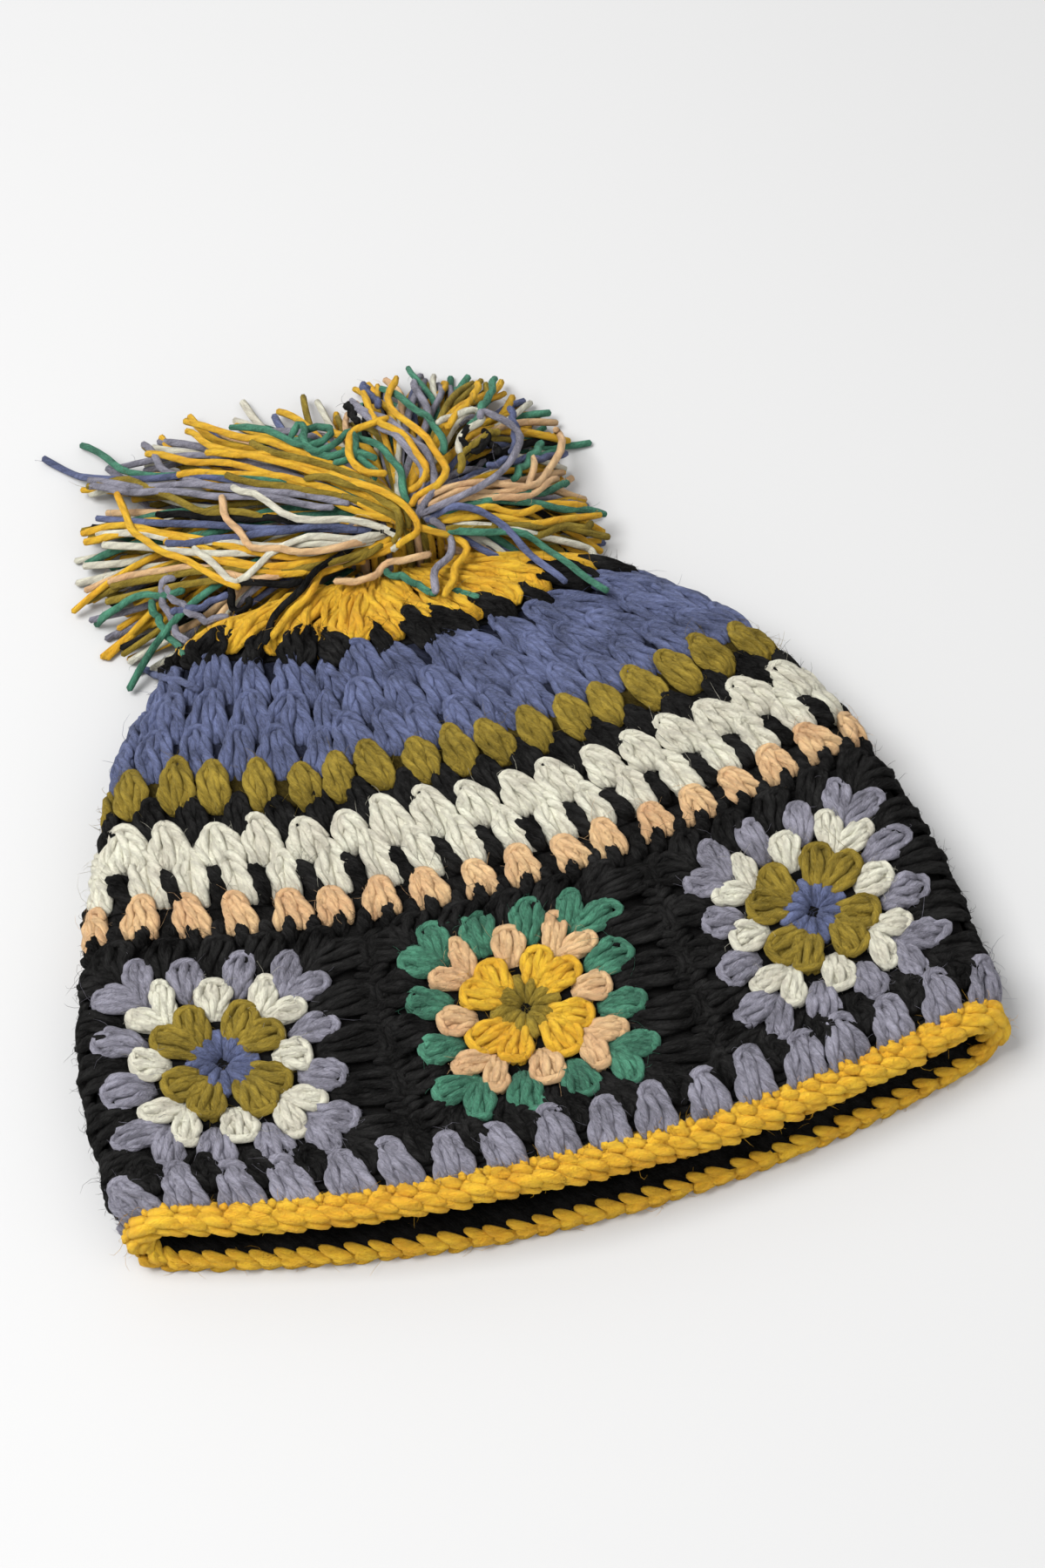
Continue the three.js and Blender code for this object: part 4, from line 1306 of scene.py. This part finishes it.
class HAT_OT_bobble(bpy.types.Operator):
    """Ties the bobble of loose yarn behind the crown"""

    bl_idname = "hat.bobble"
    bl_label = "Tie the bobble"

    def execute(self, context):
        scene = context.scene
        work = Work("bobble_yarn", scene.hat_stitches.seed + 70)
        tie = tie_middle()
        core = bmesh.new()
        core.loops.layers.uv.new("yarn")
        bmesh.ops.create_icosphere(core, subdivisions=3, radius=0.5, calc_uvs=True)
        size = Vector((TIE_WIDTH, TIE_DEPTH, TIE_HEIGHT)) * CORE_SHARE
        bmesh.ops.scale(core, vec=size, verts=core.verts)
        bmesh.ops.translate(core, vec=Vector(tie), verts=core.verts)
        # The core is painted shade: the yellow darkened by SHADE, for the dark middle under the strands.
        work.add_bmesh(core, "shaded yellow")
        self.add_wraps(work, tie)
        self.add_fan(work, tie, scene.hat_stitches.bobble_strands)
        self.add_top(work, tie)
        dress(work, scene, "bobble")
        return {"FINISHED"}

    def add_wraps(self, work, tie):
        """Lays short strands over the tied middle, fanned from its back to the hat."""
        random = work.random
        spread = (WRAP_COUNT, 1)
        fan = np.linspace(-1.2, 1.2, WRAP_COUNT)[:, None] + random.uniform(-0.05, 0.05, spread)
        arc = np.linspace(-0.5, 2.2, WRAP_RINGS) + random.uniform(-0.1, 0.1, spread)
        half = np.array([TIE_WIDTH, TIE_DEPTH, TIE_HEIGHT]) * WRAP_SHARE
        half = half * random.uniform(0.96, 1.06, (WRAP_COUNT, 1, 1))
        x, y, z = np.sin(fan) + 0 * arc, -np.cos(fan) * np.cos(arc), np.cos(fan) * np.sin(arc)
        ball = np.stack([x, y, z], axis=-1)
        yarns = random.choice(np.array(WRAP_YARNS), WRAP_COUNT)
        thickness = BOBBLE_RADIUS * np.array([0.8] + [1] * (WRAP_RINGS - 2) + [0.8])
        work.add_strands(tie + half * ball, unit(ball / half), thickness * np.ones(spread), yarns)

    def add_fan(self, work, tie, count):
        """Fans loose strands out from the tie, in layers from the surface up to the top of the heap."""
        random = work.random
        azimuth = np.sort(random.uniform(*FAN, count))
        azimuth = azimuth + 8 * np.sin(np.radians(azimuth * 3))
        azimuths, reaches = np.array(REACH).T
        reach = np.interp(azimuth, azimuths, reaches) * (1 - 0.3 * random.uniform(0, 1, count) ** 1.5)
        notch_at, notch_width, notch_depth = NOTCH
        reach = reach * (1 - notch_depth * bell((azimuth - notch_at) / notch_width))
        layer = random.uniform(0, 1, count)[:, None] ** 0.8
        run = np.linspace(0, 1, BOBBLE_RINGS)[None]
        angle = np.radians(azimuth)[:, None]
        bend = np.radians(random.normal(0, 9, count))[:, None] * run**1.5
        swing = random.uniform(1.0, 4.2, count)[:, None]
        waves = random.uniform(0.6, 2.0, count)[:, None]
        start = random.uniform(0, 6.28, count)[:, None]
        wave = swing * np.sin(2 * np.pi * run * waves + start) * run
        out = run * reach[:, None]
        radius = BOBBLE_RADIUS * random.uniform(0.85, 1.12, count)[:, None] * np.ones((1, BOBBLE_RINGS))
        low = 1.5 + 10 * (1 - run) ** 2
        high = mound(run) - 1.5
        rise = low + (high - low) * layer + 1.2 * np.sin(3 * np.pi * run + 9 * layer) * run
        x = tie[0] + out * np.cos(angle + bend) - wave * np.sin(angle)
        y = tie[1] + out * np.sin(angle + bend) + wave * np.cos(angle)
        centres = np.stack([x, y, np.maximum(rise, radius)], axis=-1)
        yarns = random.choice(np.array(BOBBLE_YARNS), count, p=np.array(BOBBLE_SHARES))
        upwards = np.broadcast_to(np.array([0.0, 0.0, 1.0]), centres.shape)
        work.add_strands(centres, upwards, radius * STRAND_ENDS, yarns)

    def add_top(self, work, tie):
        """Lays the strands that show on top, each on its own route, with a little unevenness."""
        random = work.random
        turn, along = np.meshgrid(np.linspace(0.01, 0.49, 120), np.linspace(0.5, 1.0, 80))
        hat_top = face(turn.ravel(), along.ravel(), HAT_TOP_LIFT)
        rings = np.arange(BOBBLE_RINGS)[:, None]
        for strand in TOP_STRANDS:
            line = smooth_route(top_route(strand, hat_top, tie), BOBBLE_RINGS)[None]
            pace = random.uniform(0.6, 1.4, 3)
            line = line + 0.5 * np.sin(rings * pace + random.uniform(0, 6, 3))
            line[..., 2] = np.maximum(line[..., 2], 1.4)
            upwards = np.broadcast_to(np.array([0.0, 0.0, 1.0]), line.shape)
            thickness = BOBBLE_RADIUS * random.uniform(0.92, 1.08, (1, BOBBLE_RINGS)) * STRAND_ENDS
            work.add_strands(line, upwards, thickness, strand.yarn)


class HAT_OT_stage(bpy.types.Operator):
    """Sets the floor, the studio light and the camera"""

    bl_idname = "hat.stage"
    bl_label = "Set the stage"

    def execute(self, context):
        scene = context.scene
        settings = scene.hat_stage
        mesh = bpy.data.meshes.new("studio_floor")
        plane = bmesh.new()
        bmesh.ops.create_grid(plane, x_segments=1, y_segments=1, size=6)
        plane.to_mesh(mesh)
        plane.free()
        floor = bpy.data.objects.new("studio_floor", mesh)
        scene.collection.objects.link(floor)
        mesh.materials.append(paper(settings.floor))
        self.add_light(scene, "key_softbox", (-0.8, 0.05, 1.5), 0.9, 33)
        self.add_light(scene, "fill_softbox", (0.6, -1.0, 1.3), 1.6, 6)
        world = bpy.data.worlds.new("studio")
        world.use_nodes = True
        background = world.node_tree.nodes["Background"]
        background.inputs["Color"].default_value = (1, 1, 1, 1)
        background.inputs["Strength"].default_value = 0.6
        scene.world = world
        camera = bpy.data.objects.new("camera", bpy.data.cameras.new("camera"))
        camera.data.lens = settings.lens
        camera.data.sensor_width = SENSOR_HEIGHT
        camera.data.clip_start = 0.01
        camera.data.clip_end = 20
        azimuth, elevation = settings.azimuth, settings.elevation
        camera.location = Vector(settings.aim) + Vector(backwards(azimuth, elevation)) * settings.distance
        camera.rotation_euler = Euler((math.pi / 2 - elevation, 0, azimuth))
        scene.collection.objects.link(camera)
        scene.camera = camera
        scene.view_settings.view_transform = "Standard"
        return {"FINISHED"}

    def add_light(self, scene, name, place, size, power):
        """Hangs a square softbox that points at the middle of the floor."""
        light = bpy.data.objects.new(name, bpy.data.lights.new(name, "AREA"))
        light.data.shape = "SQUARE"
        light.data.size = size
        light.data.energy = power
        light.location = place
        light.rotation_euler = (Vector((0, 0, 0)) - light.location).to_track_quat("-Z", "Y").to_euler()
        scene.collection.objects.link(light)


def paper(colour):
    """Matt white background paper: even, without gloss, with the faintest tooth."""
    material = bpy.data.materials.new("background_paper")
    material.use_nodes = True
    tree = material.node_tree
    tree.nodes.clear()
    place = add_node(tree, "ShaderNodeTexCoord")
    tooth = add_node(
        tree, "ShaderNodeTexNoise", {},
        {"Vector": place.outputs["Object"], "Scale": 1 / (0.8 * MM), "Detail": 2.0},
    )
    bump = add_node(
        tree, "ShaderNodeBump", {}, {"Strength": 0.05, "Distance": 0.05 * MM, "Height": tooth.outputs["Fac"]}
    )
    shader = add_node(
        tree, "ShaderNodeBsdfPrincipled", {},
        {
            "Base Color": (*colour, 1),
            "Roughness": 0.95,
            "Specular IOR Level": 0.1,
            "Normal": bump.outputs["Normal"],
        },
    )
    add_node(tree, "ShaderNodeOutputMaterial", {}, {"Surface": shader.outputs["BSDF"]})
    return material


STEPS = (
    HAT_OT_edge,
    HAT_OT_rounds,
    HAT_OT_squares,
    HAT_OT_crown,
    HAT_OT_bobble,
    HAT_OT_stage,
)


class HAT_PT_panel(bpy.types.Panel):
    """Lists the hat's settings and steps"""

    bl_idname = "HAT_PT_panel"
    bl_label = "Bobble hat"
    bl_space_type = "VIEW_3D"
    bl_region_type = "UI"
    bl_category = "Bobble hat"

    def draw(self, context):
        layout = self.layout
        for name in ("hat_yarn", "hat_stitches", "hat_stage"):
            settings = getattr(context.scene, name)
            box = layout.box()
            for field in settings.bl_rna.properties.keys():
                if field not in ("rna_type", "name"):
                    box.prop(settings, field)
        for step in STEPS:
            layout.operator(step.bl_idname)


CLASSES = (YarnSettings, StitchSettings, StageSettings) + STEPS + (HAT_PT_panel,)


def register():
    for item in CLASSES:
        bpy.utils.register_class(item)
    bpy.types.Scene.hat_yarn = bpy.props.PointerProperty(type=YarnSettings)
    bpy.types.Scene.hat_stitches = bpy.props.PointerProperty(type=StitchSettings)
    bpy.types.Scene.hat_stage = bpy.props.PointerProperty(type=StageSettings)


def unregister():
    del bpy.types.Scene.hat_stage
    del bpy.types.Scene.hat_stitches
    del bpy.types.Scene.hat_yarn
    for item in reversed(CLASSES):
        bpy.utils.unregister_class(item)


def main():
    register()
    bpy.ops.hat.edge()
    bpy.ops.hat.rounds()
    bpy.ops.hat.squares()
    bpy.ops.hat.crown()
    bpy.ops.hat.bobble()
    bpy.ops.hat.stage()


if __name__ == "__main__":
    main()
